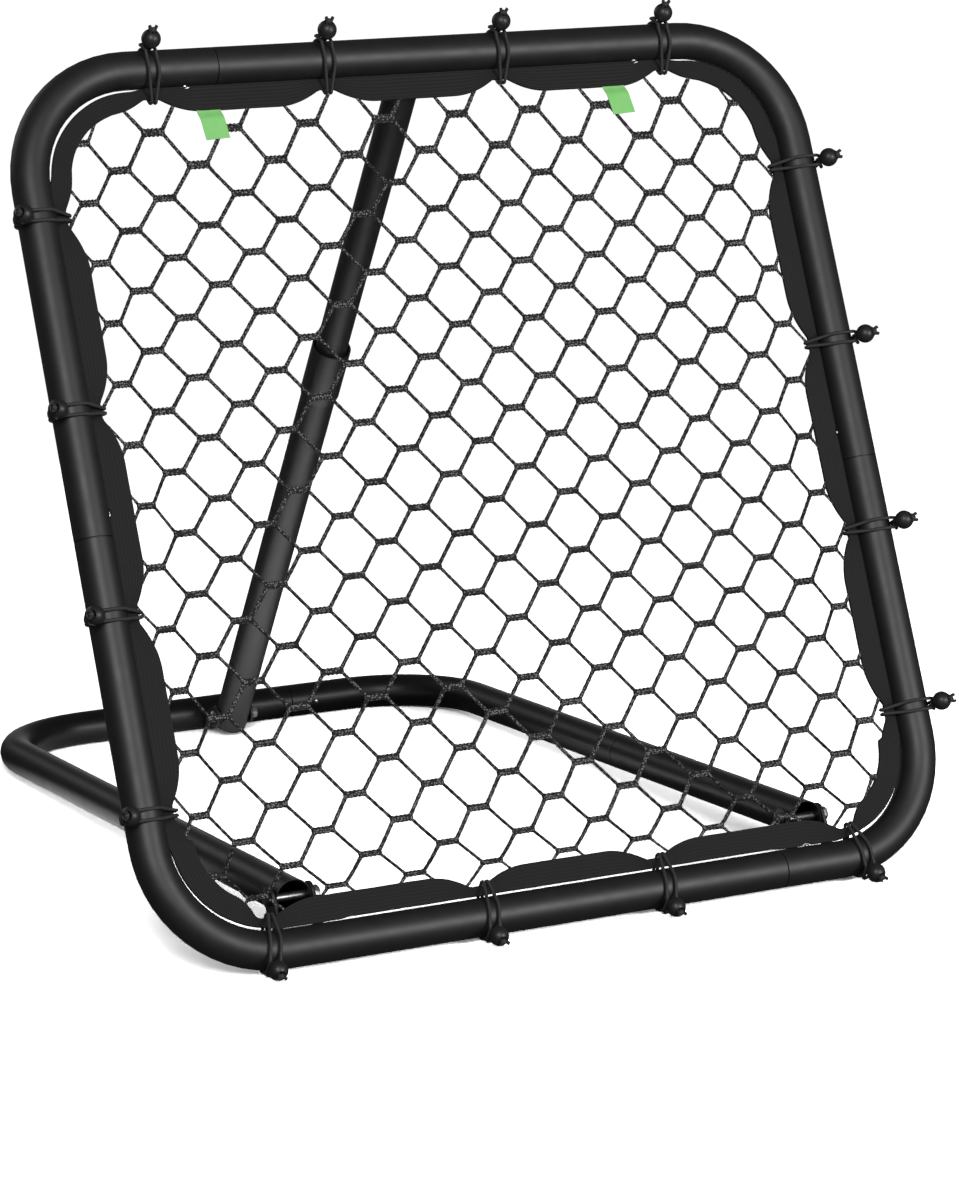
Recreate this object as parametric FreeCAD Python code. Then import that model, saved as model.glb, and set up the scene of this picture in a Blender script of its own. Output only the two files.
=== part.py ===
"""Pitch back rebounder: a ball return net hung in a leaning tube frame on a U-shaped tube base.

Millimetres, +Z up, +Y back. The origin is on the floor under the middle of the frame's bottom bar.
The frame is drawn flat in (s, t, n): s along X, t up the frame from its bottom bar, n out of its front.
The base is drawn flat in (x, y, z), with its origin on the bottom bar's axis and z square to its plane.
The strut is drawn upright, with its foot bolt at the origin. Each group is then set in its place.
"""
import FreeCAD
import Part
import math
import os

V = FreeCAD.Vector
X_AXIS = V(1, 0, 0)
Y_AXIS = V(0, 1, 0)
Z_AXIS = V(0, 0, 1)

# driving dimensions of the tubes
TUBE_R = 19.0
WALL = 1.5
FRAME_WIDTH = 848.3
FRAME_HEIGHT = 871.0
FRAME_BEND_R = 115.7
BASE_WIDTH = 567.3
BASE_DEPTH = 900.6
BASE_BEND_R = 118.6
BASE_RISE = 40.0
FRAME_LEAN = 20.14
ARM_MOUTH = 26.5

# height of the bottom bar, at which the bungees under it just reach the floor
BAR_Z = 22.7

# joints between the tube pieces, each a swaged end in the next piece's bore
SPIGOT_LENGTH = 60.0
SWAGE = 4.0
SEAM_GAP = 0.3
SLIP = 0.25
SEAM_TOP = -214.6
SEAM_LEFT = 410.3
SEAM_RIGHT = 407.8
SEAM_BOTTOM = 235.4
SEAM_REAR = 90.1
SEAM_ARM = 411.0
BUTTON_TOP = -247.8
BUTTON_LEFT = 435.7
BUTTON_RIGHT = 438.6
BUTTON_BOTTOM = 272.0
BUTTON_REAR = 121.0
BUTTON_ARM = 445.7
STUD_TOP = 254.5

# sprung buttons
BUTTON_R = 2.5
BUTTON_HOLE_R = 2.8
BUTTON_TRAVEL = 3.0
BUTTON_PROUD = 1.8
BUTTON_DOME = 1.2
LEAF_WIDTH = 6.0
LEAF_LENGTH = 22.0
LEAF_WALL = 0.7
LEAF_HEEL = 4.0
LEAF_DROP = 5.0
LEAF_FOLD = 2.0
STUD_R = 3.6
STUD_HEIGHT = 2.0

# pivots and brackets
PIVOT_SETBACK = 12.0
EAR_R = 12.0
EAR_WALL = 3.0
EAR_FOOT_FRONT = 0.6
EAR_FOOT_REAR = 0.05
EAR_FOOT_BACK = 0.9
EAR_CLEARANCE = 0.4
HEM_CLEARANCE = 3.5
BOLT_R = 4.0
BOLT_HOLE_R = 4.25
BOLT_BEYOND = 9.0
HEAD_R = 7.0
HEAD_HEIGHT = 4.4
HEAD_RIM = 1.2
HEAD_CROWN = 0.62
SOCKET_R = 2.9
SOCKET_DEPTH = 2.6
NUT_R = 7.5
NUT_HEIGHT = 7.5
NUT_BORE_R = 4.1
FLANGE_R = 8.5
FLANGE_HEIGHT = 1.5
STRUT_SLOT = 13.6

# strut
STRUT_TOP_DROP = 23.3
STRUT_TOP_BACK = 27.3
FOOT_FORWARD = 49.0
FOOT_RISE = 4.0
UPPER_R = 17.0
UPPER_TOP = 10.0
UPPER_LENGTH = 588.0
LOWER_FOOT = 13.0
COLLAR_R = 21.2
COLLAR_RIM = 348.3
COLLAR_LENGTH = 70.0
COLLAR_LIP = 16.0
COLLAR_DEPTH = 8.0
COLLAR_TONGUE = 9.0
TONGUE_BACK = 12.0
COLLAR_SLIP = 0.3
COLLAR_STEP = 0.6
COLLAR_CHAMFER = 6.0

# hem and net
HEM_THICK = 4.0
HEM_OUTER = 21.1
HEM_NARROW = 31.0
HEM_WIDE = 43.0
HEM_WIDE_FROM = 0.3
HEM_CORNER_MARGIN = 18.0
GATHER = 8.0
NET_THICK = 2.4
NET_GAP = 0.3
STRAND = 3.0
KNOT_PITCH = 41.35
KNOT_ROW = 60.35
KNOT_LENGTH = 22.0
KNOT_THICK = 6.0
NET_ROW_START = 710.0
SMALLEST_GAP = 100.0

# how the net is drawn out of its even pattern: in at the sides, least at the bungees, up at the top and bottom
SIDE_PULL = 0.23
SIDE_REACH = 82.0
HELD_SHARE = 0.5
HELD_REACH = 90.0
LOW_LIFT = 21.0
LOW_REACH = 100.0
LOW_SLIDE = 5.5
SLIDE_FULL = 60.0
SLIDE_REACH = 137.0
TOP_PULL = 0.175
TOP_REACH = 108.0
TOP_FADE = (300.0, 360.0)

# tags on the top hem
TAG_WIDTH = 25.0
TAG_DROP = 31.0
TAG_THICK = 0.8
TAG_OVERLAP = 5.0
TAG_PLACES = (-225.5, 226.5)

# bungees: both strands of a loop lie side by side as one band of the same section area
CORD_D = 3.5
CORD_THICK = CORD_D * math.sqrt(math.pi) / 2
BAND_WIDTH = 2 * CORD_THICK
CORD_GAP = 0.3
LOOP_END_R = 2.7
BALL_R = 9.7
BALL_OUT = 22.4
BALL_FRONT = 27.8
BALL_SIDES = 8
BALL_LATITUDES = (-60.0, -20.0, 20.0, 60.0)
TOP_BUNGEES = tuple(FRAME_WIDTH * share for share in (-0.336, -0.1143, 0.1143, 0.336))
SIDE_BUNGEES = tuple(FRAME_HEIGHT * share for share in (0.1638, 0.384, 0.6137, 0.8342))
BOTTOM_BUNGEES = tuple(FRAME_WIDTH * share for share in (-0.1149, 0.1149))
CORNER_BUNGEE_ANGLE = 8.5

# round sections are drawn with flat sides and bends in straight steps, so that the whole model stays light
TUBE_SIDES = 18
BEND_STEPS = 6
CORNER_STEPS = 4
SMALL_SIDES = 10
EAR_STEPS = 5
LOOP_STEPS = 9
LOOP_WRAP = 250.0
HEM_STEPS = 3

# values that follow from the ones above
BORE_R = TUBE_R - WALL
SPIGOT_R = BORE_R - SLIP
SPIGOT_BORE_R = SPIGOT_R - WALL
HALF_WIDTH = FRAME_WIDTH / 2
HALF_BASE = BASE_WIDTH / 2
HEM_CORNER_R = FRAME_BEND_R - HEM_OUTER
EAR_INSIDE = TUBE_R + EAR_CLEARANCE
STRUT_EAR_INSIDE = UPPER_R + EAR_CLEARANCE
BASE_REACH = math.hypot(BASE_DEPTH, BASE_RISE)
BASE_PITCH = math.degrees(math.atan2(BASE_RISE, BASE_DEPTH) + math.asin((BAR_Z - TUBE_R) / BASE_REACH))
LEAN = FRAME_LEAN + BASE_PITCH


def frame_place():
    """Placement that sets the flat frame on the floor, leaning back."""
    return FreeCAD.Placement(V(0, 0, BAR_Z), FreeCAD.Rotation(X_AXIS, 90 - LEAN))


def base_place():
    """Placement that lays the flat base from the bottom bar's height down to the floor behind."""
    return FreeCAD.Placement(V(0, 0, BAR_Z), FreeCAD.Rotation(X_AXIS, -BASE_PITCH))


def from_base(y, z):
    """Floor point of a base point on the middle plane."""
    return base_place().multVec(V(0, y, z))


def arm_pivot():
    """Flat-frame (t, n) of the bolts that hold the arms."""
    lean = math.radians(FRAME_LEAN)
    y = ARM_MOUTH + PIVOT_SETBACK
    return y * math.sin(lean) + BASE_RISE * math.cos(lean), BASE_RISE * math.sin(lean) - y * math.cos(lean)


def strut_ends():
    """Floor points of the strut's foot bolt and top bolt."""
    foot = from_base(BASE_DEPTH - FOOT_FORWARD, BASE_RISE + FOOT_RISE)
    top = frame_place().multVec(V(0, FRAME_HEIGHT - STRUT_TOP_DROP, -STRUT_TOP_BACK))
    return foot, top


def strut_place():
    """Placement of the upright strut on its foot bolt, leaning forward to its top bolt."""
    foot, top = strut_ends()
    tilt = math.degrees(math.atan2(foot.y - top.y, top.z - foot.z))
    return FreeCAD.Placement(foot, FreeCAD.Rotation(X_AXIS, tilt))


def strut_length():
    """Distance between the strut's two bolts."""
    foot, top = strut_ends()
    return foot.distanceToPoint(top)


def polygon_face(points):
    """Flat face inside a closed line of points."""
    return Part.Face(Part.makePolygon(list(points) + [points[0]]))


def ring(centre, across, up, radius, sides=TUBE_SIDES):
    """Points of a many-sided ring with one corner along the up direction."""
    turns = [2 * math.pi * i / sides for i in range(sides)]
    return [centre.add(V(up).multiply(radius * math.cos(a))).add(V(across).multiply(radius * math.sin(a)))
            for a in turns]


def skin(rings):
    """Solid whose faces join each ring to the next, and the last to the first."""
    faces = []
    for low, high in zip(rings, rings[1:] + rings[:1]):
        for i, point in enumerate(low):
            j = (i + 1) % len(low)
            faces.append(polygon_face([point, low[j], high[j], high[i]]))
    solid = Part.Solid(Part.Shell(faces))
    return solid if solid.Volume > 0 else solid.reversed()


def capped(rings):
    """Solid closed by its first and last rings."""
    faces = [polygon_face(rings[0]), polygon_face(rings[-1])]
    for low, high in zip(rings, rings[1:]):
        faces += [polygon_face([low[i - 1], low[i], high[i], high[i - 1]]) for i in range(len(low))]
    solid = Part.Solid(Part.Shell(faces))
    return solid if solid.Volume > 0 else solid.reversed()


def turned(start, axis, up, profile, sides=TUBE_SIDES):
    """Hollow many-sided solid from a closed profile of (distance along the axis, radius)."""
    across = axis.cross(up)
    return skin([ring(start.add(V(axis).multiply(h)), across, up, r, sides) for h, r in profile])


def prism(sides, radius, start, axis, height, up=None):
    """Many-sided bar standing on a point along an axis."""
    corner = up or (X_AXIS if abs(axis.x) < 0.9 else Z_AXIS)
    face = polygon_face(ring(start, axis.cross(corner), corner, radius, sides))
    return face.extrude(V(axis).multiply(height))


def spigot_profile():
    """Outside and bore of a swaged end, as (distance past the seam, radius), and the step in the main bore."""
    outside = [(0.0, SPIGOT_R), (SPIGOT_LENGTH, SPIGOT_R)]
    bore = [(SPIGOT_LENGTH, SPIGOT_BORE_R), (-SWAGE, SPIGOT_BORE_R)]
    return outside, bore


def run_end(end, along, up, male):
    """Rings that finish a tube's end: the outside ones on the way out and the bore's on the way back."""
    across = along.cross(up)
    if not male:
        mouth = end.sub(V(along).multiply(SEAM_GAP))
        return [ring(mouth, across, up, TUBE_R)], [ring(mouth, across, up, BORE_R)]
    outside, bore = spigot_profile()
    outside_rings = [ring(end, across, up, TUBE_R)]
    outside_rings += [ring(end.add(V(along).multiply(h)), across, up, r) for h, r in outside]
    bore_rings = [ring(end.add(V(along).multiply(h)), across, up, r) for h, r in bore]
    bore_rings.append(ring(end.sub(V(along).multiply(SWAGE)), across, up, BORE_R))
    return outside_rings, bore_rings


def elbow_tube(end_a, corner, end_b, bend_r, male_a, male_b):
    """L-shaped tube; a male end carries a spigot, a plain end is an open bore just clear of its seam."""
    along_a = end_a.sub(corner).normalize()
    along_b = end_b.sub(corner).normalize()
    centre = corner.add(along_a.add(along_b).multiply(bend_r))
    stations = []
    for i in range(BEND_STEPS + 1):
        angle = math.pi / 2 * i / BEND_STEPS
        out = V(along_b).multiply(-math.cos(angle)).sub(V(along_a).multiply(math.sin(angle)))
        stations.append((centre.add(V(out).multiply(bend_r)), out))
    outside_a, bore_a = run_end(end_a, along_a, Z_AXIS, male_a)
    outside_b, bore_b = run_end(end_b, along_b, Z_AXIS, male_b)
    outside_b, bore_b = [mirrored_ring(r) for r in outside_b], [mirrored_ring(r) for r in bore_b]
    sense = 1 if along_a.cross(Z_AXIS).dot(stations[0][1]) > 0 else -1
    bends = {r: [ring(p, V(out).multiply(sense), Z_AXIS, r) for p, out in stations] for r in (TUBE_R, BORE_R)}
    outward = outside_a[::-1] + bends[TUBE_R] + outside_b
    inward = bore_b + bends[BORE_R][::-1] + bore_a[::-1]
    return skin(outward + inward)


def mirrored_ring(points):
    """The same ring, numbered the other way round from its first corner."""
    return points[:1] + points[:0:-1]


def straight_tube(start, axis, up, length, radius, bore):
    """Straight open tube."""
    return turned(start, axis, up, [(0.0, radius), (length, radius), (length, bore), (0.0, bore)])


def button_hole(centre, inward):
    """Cutter for a sprung button's hole through one wall."""
    return prism(SMALL_SIDES, BUTTON_HOLE_R, centre.add(V(inward).multiply(SPIGOT_BORE_R / 2)), inward, TUBE_R)


def sprung_button(centre, inward, along):
    """Domed button on the end of a folded leaf spring that lies inside the spigot."""
    seat = SPIGOT_BORE_R * math.cos(math.pi / TUBE_SIDES) - LEAF_WALL
    side = inward.cross(along)
    tip = TUBE_R + BUTTON_PROUD
    profile = [(seat, BUTTON_R), (tip - BUTTON_DOME, BUTTON_R), (tip, BUTTON_R / 2)]
    stem = capped([ring(centre.add(V(inward).multiply(h)), along, side, r, SMALL_SIDES) for h, r in profile])
    far = BUTTON_TRAVEL + LEAF_FOLD - SPIGOT_BORE_R
    fold = seat - LEAF_DROP
    leaf = [(-LEAF_HEEL, seat), (LEAF_LENGTH, fold), (-LEAF_HEEL, far), (-LEAF_HEEL, far - LEAF_WALL),
            (LEAF_LENGTH + LEAF_FOLD, fold), (LEAF_LENGTH, fold + 2 * LEAF_WALL), (-LEAF_HEEL, seat + LEAF_WALL)]
    corner = centre.sub(V(side).multiply(LEAF_WIDTH / 2))
    points = [corner.add(V(along).multiply(a)).add(V(inward).multiply(r)) for a, r in leaf]
    return stem.fuse(polygon_face(points).extrude(V(side).multiply(LEAF_WIDTH)))


def button_places():
    """Every sprung button: name, group placement, centre on its tube's axis, inward and along the spigot."""
    frame = frame_place()
    base = base_place()
    return [
        ("button_top", frame, V(BUTTON_TOP, FRAME_HEIGHT, 0), V(0, -1, 0), V(1, 0, 0)),
        ("button_left", frame, V(-HALF_WIDTH, BUTTON_LEFT, 0), V(1, 0, 0), V(0, -1, 0)),
        ("button_right", frame, V(HALF_WIDTH, BUTTON_RIGHT, 0), V(-1, 0, 0), V(0, -1, 0)),
        ("button_bottom", frame, V(BUTTON_BOTTOM, 0, 0), V(0, 1, 0), V(-1, 0, 0)),
        ("button_rear", base, V(BUTTON_REAR, BASE_DEPTH, BASE_RISE), V(0, -1, 0), V(-1, 0, 0)),
        ("button_arm_left", base, V(-HALF_BASE, BUTTON_ARM, BASE_RISE), V(1, 0, 0), V(0, -1, 0)),
        ("button_arm_right", base, V(HALF_BASE, BUTTON_ARM, BASE_RISE), V(-1, 0, 0), V(0, -1, 0)),
    ]


def hole_for(name):
    """Hole cutter of the named button, in its group's flat coordinates."""
    for button, _, centre, inward, _ in button_places():
        if button == name:
            return button_hole(centre, inward)
    raise KeyError(name)


def frame_tubes():
    """The four L-shaped tubes of the frame, flat."""
    left = -HALF_WIDTH
    right = HALF_WIDTH
    top = FRAME_HEIGHT
    tubes = {
        "frame_top_left": elbow_tube(V(left, SEAM_LEFT, 0), V(left, top, 0), V(SEAM_TOP, top, 0),
                                     FRAME_BEND_R, False, False),
        "frame_top_right": elbow_tube(V(SEAM_TOP, top, 0), V(right, top, 0), V(right, SEAM_RIGHT, 0),
                                      FRAME_BEND_R, True, False),
        "frame_bottom_right": elbow_tube(V(right, SEAM_RIGHT, 0), V(right, 0, 0), V(SEAM_BOTTOM, 0, 0),
                                         FRAME_BEND_R, True, False),
        "frame_bottom_left": elbow_tube(V(SEAM_BOTTOM, 0, 0), V(left, 0, 0), V(left, SEAM_LEFT, 0),
                                        FRAME_BEND_R, True, True),
    }
    holes = {"frame_top_left": ("button_top", "button_left"), "frame_top_right": ("button_top", "button_right"),
             "frame_bottom_right": ("button_right", "button_bottom"),
             "frame_bottom_left": ("button_left", "button_bottom")}
    for name, buttons in holes.items():
        tubes[name] = tubes[name].cut([hole_for(button) for button in buttons])
    return tubes


def base_tubes():
    """The two rear corners and the two arms of the base, flat."""
    tubes = {}
    rear = V(0, BASE_DEPTH, BASE_RISE)
    for side, name in ((-1, "left"), (1, "right")):
        corner = V(side * HALF_BASE, BASE_DEPTH, BASE_RISE)
        front = V(side * HALF_BASE, SEAM_ARM, BASE_RISE)
        seam = rear.add(V(SEAM_REAR, 0, 0))
        tube = elbow_tube(front, corner, seam, BASE_BEND_R, False, side < 0)
        tubes["base_rear_" + name] = tube.cut([hole_for("button_rear"), hole_for("button_arm_" + name)])
        mouth = V(side * HALF_BASE, ARM_MOUTH, BASE_RISE)
        length = SEAM_ARM - ARM_MOUTH
        outside, bore = spigot_profile()
        profile = [(0.0, TUBE_R), (length, TUBE_R)] + [(length + h, r) for h, r in outside + bore]
        profile += [(length - SWAGE, BORE_R), (0.0, BORE_R)]
        arm = turned(mouth, Y_AXIS, Z_AXIS, profile)
        pivot = V(side * HALF_BASE - TUBE_R, ARM_MOUTH + PIVOT_SETBACK, BASE_RISE)
        bolt_hole = prism(SMALL_SIDES, BOLT_HOLE_R, pivot, X_AXIS, 2 * TUBE_R)
        tubes["base_arm_" + name] = arm.cut([bolt_hole, hole_for("button_arm_" + name)])
    return tubes


def tangent_point(point, centre, radius, turn):
    """Point of a circle where the line from an outside point touches it, on the chosen side."""
    gap = centre.sub(point)
    swing = math.acos(radius / gap.Length) * turn
    back = math.atan2(-gap.y, -gap.x) + swing
    return V(centre.x + radius * math.cos(back), centre.y + radius * math.sin(back), 0)


def ear_face(reach, back, front_cut):
    """Side view of one bracket ear: x from the tube's axis to the pivot, y forwards; seated on the tube."""
    pivot = V(reach, -back, 0)
    foot_front = V(TUBE_R * EAR_FOOT_FRONT, min(0.0, -front_cut), 0)
    foot_rear = V(-TUBE_R * EAR_FOOT_REAR, -TUBE_R * EAR_FOOT_BACK, 0)
    touch_front = tangent_point(foot_front, pivot, EAR_R, -1)
    touch_rear = tangent_point(foot_rear, pivot, EAR_R, 1)
    first = math.atan2(touch_front.y - pivot.y, touch_front.x - pivot.x)
    last = math.atan2(touch_rear.y - pivot.y, touch_rear.x - pivot.x)
    sweep = (last - first) % (-2 * math.pi)
    turns = [first + sweep * i / EAR_STEPS for i in range(EAR_STEPS + 1)]
    end = [pivot.add(V(EAR_R * math.cos(a), EAR_R * math.sin(a), 0)) for a in turns]
    plate = polygon_face([foot_front] + end + [foot_rear])
    hole = polygon_face(ring(pivot, X_AXIS, Y_AXIS, BOLT_HOLE_R, SMALL_SIDES))
    tube = polygon_face(ring(V(0, 0, 0), X_AXIS, Y_AXIS, TUBE_R))
    return plate.cut([hole, tube])


def clevis(reach, back, front_cut, inside):
    """Two ears, either side of x = 0, drawn with reach along Y and front along Z."""
    ears = []
    for side in (-1, 1):
        ear = ear_face(reach, back, front_cut).extrude(V(0, 0, EAR_WALL))
        ear.Placement = FreeCAD.Placement(V(inside if side > 0 else -inside - EAR_WALL, 0, 0),
                                          FreeCAD.Rotation(V(0, 1, 0), V(0, 0, 1), V(1, 0, 0), "XYZ"))
        ears.append(ear)
    return ears


def moved(shape, placement):
    """Copy of a shape carried by a placement, with its geometry changed and no placement left on it."""
    carried = shape.copy()
    carried.Placement = placement.multiply(carried.Placement)
    return carried


def arm_brackets():
    """Clevises on the bottom bar for both arms, flat."""
    reach, back = arm_pivot()
    ears = []
    for side in (-1, 1):
        ears += [moved(ear, FreeCAD.Placement(V(side * HALF_BASE, 0, 0), FreeCAD.Rotation()))
                 for ear in clevis(reach, -back, HEM_CLEARANCE, EAR_INSIDE)]
    return ears


def strut_bracket():
    """Clevis under and behind the top bar, flat."""
    turn = FreeCAD.Placement(V(0, FRAME_HEIGHT, 0), FreeCAD.Rotation())
    ears = clevis(STRUT_TOP_DROP, STRUT_TOP_BACK, HEM_CLEARANCE, STRUT_EAR_INSIDE)
    mirrored = [ear.mirror(V(0, 0, 0), Y_AXIS) for ear in ears]
    return [moved(ear, turn) for ear in mirrored]


def foot_bracket():
    """Clevis on the front of the rear bar, in the base's flat coordinates."""
    ears = []
    for ear in clevis(FOOT_FORWARD, -FOOT_RISE, 0.0, EAR_INSIDE):
        ears.append(moved(ear.mirror(V(0, 0, 0), Y_AXIS),
                          FreeCAD.Placement(V(0, BASE_DEPTH, BASE_RISE), FreeCAD.Rotation())))
    return ears


def bolt(centre, outside):
    """Button-head bolt along X through a clevis whose outer faces are at +-outside."""
    profile = [(0.0, HEAD_R), (HEAD_RIM, HEAD_R), (HEAD_HEIGHT, HEAD_R * HEAD_CROWN), (HEAD_HEIGHT, SOCKET_R),
               (HEAD_HEIGHT - SOCKET_DEPTH, SOCKET_R)]
    head = capped([ring(V(-h, 0, 0), Y_AXIS, Z_AXIS, r, SMALL_SIDES) for h, r in profile])
    shank = prism(SMALL_SIDES, BOLT_R, V(0, 0, 0), X_AXIS, 2 * outside + BOLT_BEYOND, Z_AXIS)
    whole = head.fuse(shank)
    whole.translate(centre.sub(V(outside, 0, 0)))
    return whole


def nut(centre, outside):
    """Flange nut on the bolt's end."""
    start = centre.add(V(outside, 0, 0))
    flange = prism(SMALL_SIDES, FLANGE_R, start, X_AXIS, FLANGE_HEIGHT, Z_AXIS)
    hexagon = prism(6, NUT_R, start, X_AXIS, NUT_HEIGHT, Z_AXIS)
    hole = prism(SMALL_SIDES, NUT_BORE_R, start, X_AXIS, NUT_HEIGHT, Z_AXIS)
    return flange.fuse(hexagon).cut(hole)


def frame_bolt_places():
    """Centre and half width of each clevis on the frame, flat."""
    reach, back = arm_pivot()
    return [(V(-HALF_BASE, reach, back), EAR_INSIDE + EAR_WALL), (V(HALF_BASE, reach, back), EAR_INSIDE + EAR_WALL),
            (V(0, FRAME_HEIGHT - STRUT_TOP_DROP, -STRUT_TOP_BACK), STRUT_EAR_INSIDE + EAR_WALL)]


def foot_bolt_place():
    """Centre and half width of the foot clevis, in the base's flat coordinates."""
    return V(0, BASE_DEPTH - FOOT_FORWARD, BASE_RISE + FOOT_RISE), EAR_INSIDE + EAR_WALL


def stud():
    """Fixed domed rivet on the inner side of the top bar."""
    flat = TUBE_R * math.cos(math.pi / TUBE_SIDES)
    profile = [(flat, STUD_R), (flat + STUD_HEIGHT / 2, STUD_R), (flat + STUD_HEIGHT, STUD_R / 2)]
    return capped([ring(V(STUD_TOP, FRAME_HEIGHT - h, 0), X_AXIS, Z_AXIS, r, SMALL_SIDES) for h, r in profile])


def strut_lower():
    """Lower strut tube, upright on its foot bolt."""
    top = strut_length() - COLLAR_RIM - COLLAR_LIP
    tube = straight_tube(V(0, 0, -LOWER_FOOT), Z_AXIS, Y_AXIS, top + LOWER_FOOT, TUBE_R, BORE_R)
    return tube.cut(prism(SMALL_SIDES, BOLT_HOLE_R, V(-TUBE_R, 0, 0), X_AXIS, 2 * TUBE_R))


def strut_collar():
    """Socket over the lower tube's end: a wide mouth with a small tongue behind, and a guide for the upper tube."""
    rim = strut_length() - COLLAR_RIM
    low = rim - COLLAR_LENGTH
    seat = rim - COLLAR_LIP
    bore = UPPER_R + COLLAR_SLIP
    wide = COLLAR_R - WALL
    profile = [(low, TUBE_R + COLLAR_STEP), (low + COLLAR_CHAMFER, COLLAR_R), (rim, COLLAR_R), (rim, wide),
               (rim - COLLAR_DEPTH, bore), (seat, bore), (seat, TUBE_R), (low, TUBE_R)]
    sleeve = turned(V(0, 0, 0), Z_AXIS, Y_AXIS, profile)
    tongue = straight_tube(V(0, 0, rim - WALL), Z_AXIS, Y_AXIS, COLLAR_TONGUE + WALL, COLLAR_R, wide)
    corner = Part.makeBox(COLLAR_R, COLLAR_R, COLLAR_TONGUE + WALL, V(-COLLAR_R, TONGUE_BACK, rim - WALL))
    return sleeve.fuse(tongue.common(corner))


def strut_upper():
    """Upper strut tube; its top hole is a slot along the tube."""
    bolt_z = strut_length()
    low = bolt_z + UPPER_TOP - UPPER_LENGTH
    tube = straight_tube(V(0, 0, low), Z_AXIS, Y_AXIS, UPPER_LENGTH, UPPER_R, UPPER_R - WALL)
    half = STRUT_SLOT / 2 - BOLT_HOLE_R
    turns = [math.pi * i / EAR_STEPS for i in range(EAR_STEPS + 1)]
    upper_end = [V(-UPPER_R, BOLT_HOLE_R * math.cos(a), bolt_z + half + BOLT_HOLE_R * math.sin(a)) for a in turns]
    lower_end = [V(-UPPER_R, -BOLT_HOLE_R * math.cos(a), bolt_z - half - BOLT_HOLE_R * math.sin(a)) for a in turns]
    return tube.cut(polygon_face(upper_end + lower_end).extrude(V(2 * UPPER_R, 0, 0)))


def corner_centres():
    """Centres of the four rounded corners of the hem's outer edge with the angle each starts at."""
    inset = HEM_OUTER + HEM_CORNER_R
    s = HALF_WIDTH - inset
    return [(V(s, FRAME_HEIGHT - inset, 0), 0.0), (V(-s, FRAME_HEIGHT - inset, 0), 90.0),
            (V(-s, inset, 0), 180.0), (V(s, inset, 0), 270.0)]


def corner_points(centre, start, radius, margin=0.0):
    """Points of a rounded corner, anticlockwise."""
    span = 90 - 2 * margin
    angles = [math.radians(start + margin + span * i / CORNER_STEPS) for i in range(CORNER_STEPS + 1)]
    return [V(centre.x + radius * math.cos(a), centre.y + radius * math.sin(a), 0) for a in angles]


def scallops(places):
    """(place along a side, depth from the tube's axis) of the hem's inner edge, narrow at each bungee."""
    points = []
    for i, place in enumerate(places):
        if i:
            gap = place - places[i - 1]
            points += [(places[i - 1] + HEM_WIDE_FROM * gap, HEM_WIDE), (place - HEM_WIDE_FROM * gap, HEM_WIDE)]
        points += [(place - GATHER, HEM_NARROW), (place + GATHER, HEM_NARROW)]
    return points


def corner_bungee():
    """Tube point and inner end of a bungee on the start of a bottom bend, at the right."""
    angle = math.radians(CORNER_BUNGEE_ANGLE)
    centre = V(HALF_WIDTH - FRAME_BEND_R, FRAME_BEND_R, 0)
    return V(centre.x + FRAME_BEND_R * math.sin(angle), centre.y - FRAME_BEND_R * math.cos(angle), 0)


def hem_inner_edge():
    """Inner edge of the hem, anticlockwise from the right side."""
    corner_at = corner_bungee().x - HEM_NARROW * math.sin(math.radians(CORNER_BUNGEE_ANGLE))
    bottom = (-corner_at, *BOTTOM_BUNGEES, corner_at)
    inner_r = HEM_CORNER_R - (HEM_WIDE - HEM_OUTER)
    corners = [corner_points(c, a, inner_r, HEM_CORNER_MARGIN) for c, a in corner_centres()]
    right = [V(HALF_WIDTH - d, t, 0) for t, d in scallops(SIDE_BUNGEES)]
    top = [V(-s, FRAME_HEIGHT - d, 0) for s, d in scallops(tuple(-p for p in reversed(TOP_BUNGEES)))]
    left = [V(-HALF_WIDTH + d, FRAME_HEIGHT - t, 0)
            for t, d in scallops(tuple(FRAME_HEIGHT - p for p in reversed(SIDE_BUNGEES)))]
    low = [V(s, d, 0) for s, d in scallops(bottom)]
    return right + corners[0] + top + corners[1] + left + corners[2] + low + corners[3]


def hem():
    """Hem band round the net, gathered at each bungee."""
    outer = [p for c, a in corner_centres() for p in corner_points(c, a, HEM_CORNER_R)]
    band = polygon_face(outer).cut(polygon_face(hem_inner_edge()))
    band.translate(V(0, 0, -HEM_THICK / 2))
    return band.extrude(V(0, 0, HEM_THICK))


def net_outline(inset):
    """Corner points of the net's outline, a rounded rectangle just inside the hem, anticlockwise."""
    radius = HEM_CORNER_R - (HEM_WIDE - HEM_OUTER) - inset
    return [p for c, a in corner_centres() for p in corner_points(c, a, radius)]


def clipped(points, outline):
    """The part of a polygon that lies inside a convex anticlockwise outline."""
    for i, a in enumerate(outline):
        edge = outline[(i + 1) % len(outline)].sub(a)
        kept = []
        for j, p in enumerate(points):
            q = points[(j + 1) % len(points)]
            side_p = edge.x * (p.y - a.y) - edge.y * (p.x - a.x)
            side_q = edge.x * (q.y - a.y) - edge.y * (q.x - a.x)
            if side_p >= 0:
                kept.append(p)
            if side_p * side_q < 0:
                kept.append(p.add(q.sub(p).multiply(side_p / (side_p - side_q))))
        points = kept
    return points


def area(points):
    """Area of a polygon."""
    pairs = zip(points, points[1:] + points[:1])
    return sum(p.x * q.y - q.x * p.y for p, q in pairs) / 2 if points else 0.0


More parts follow.
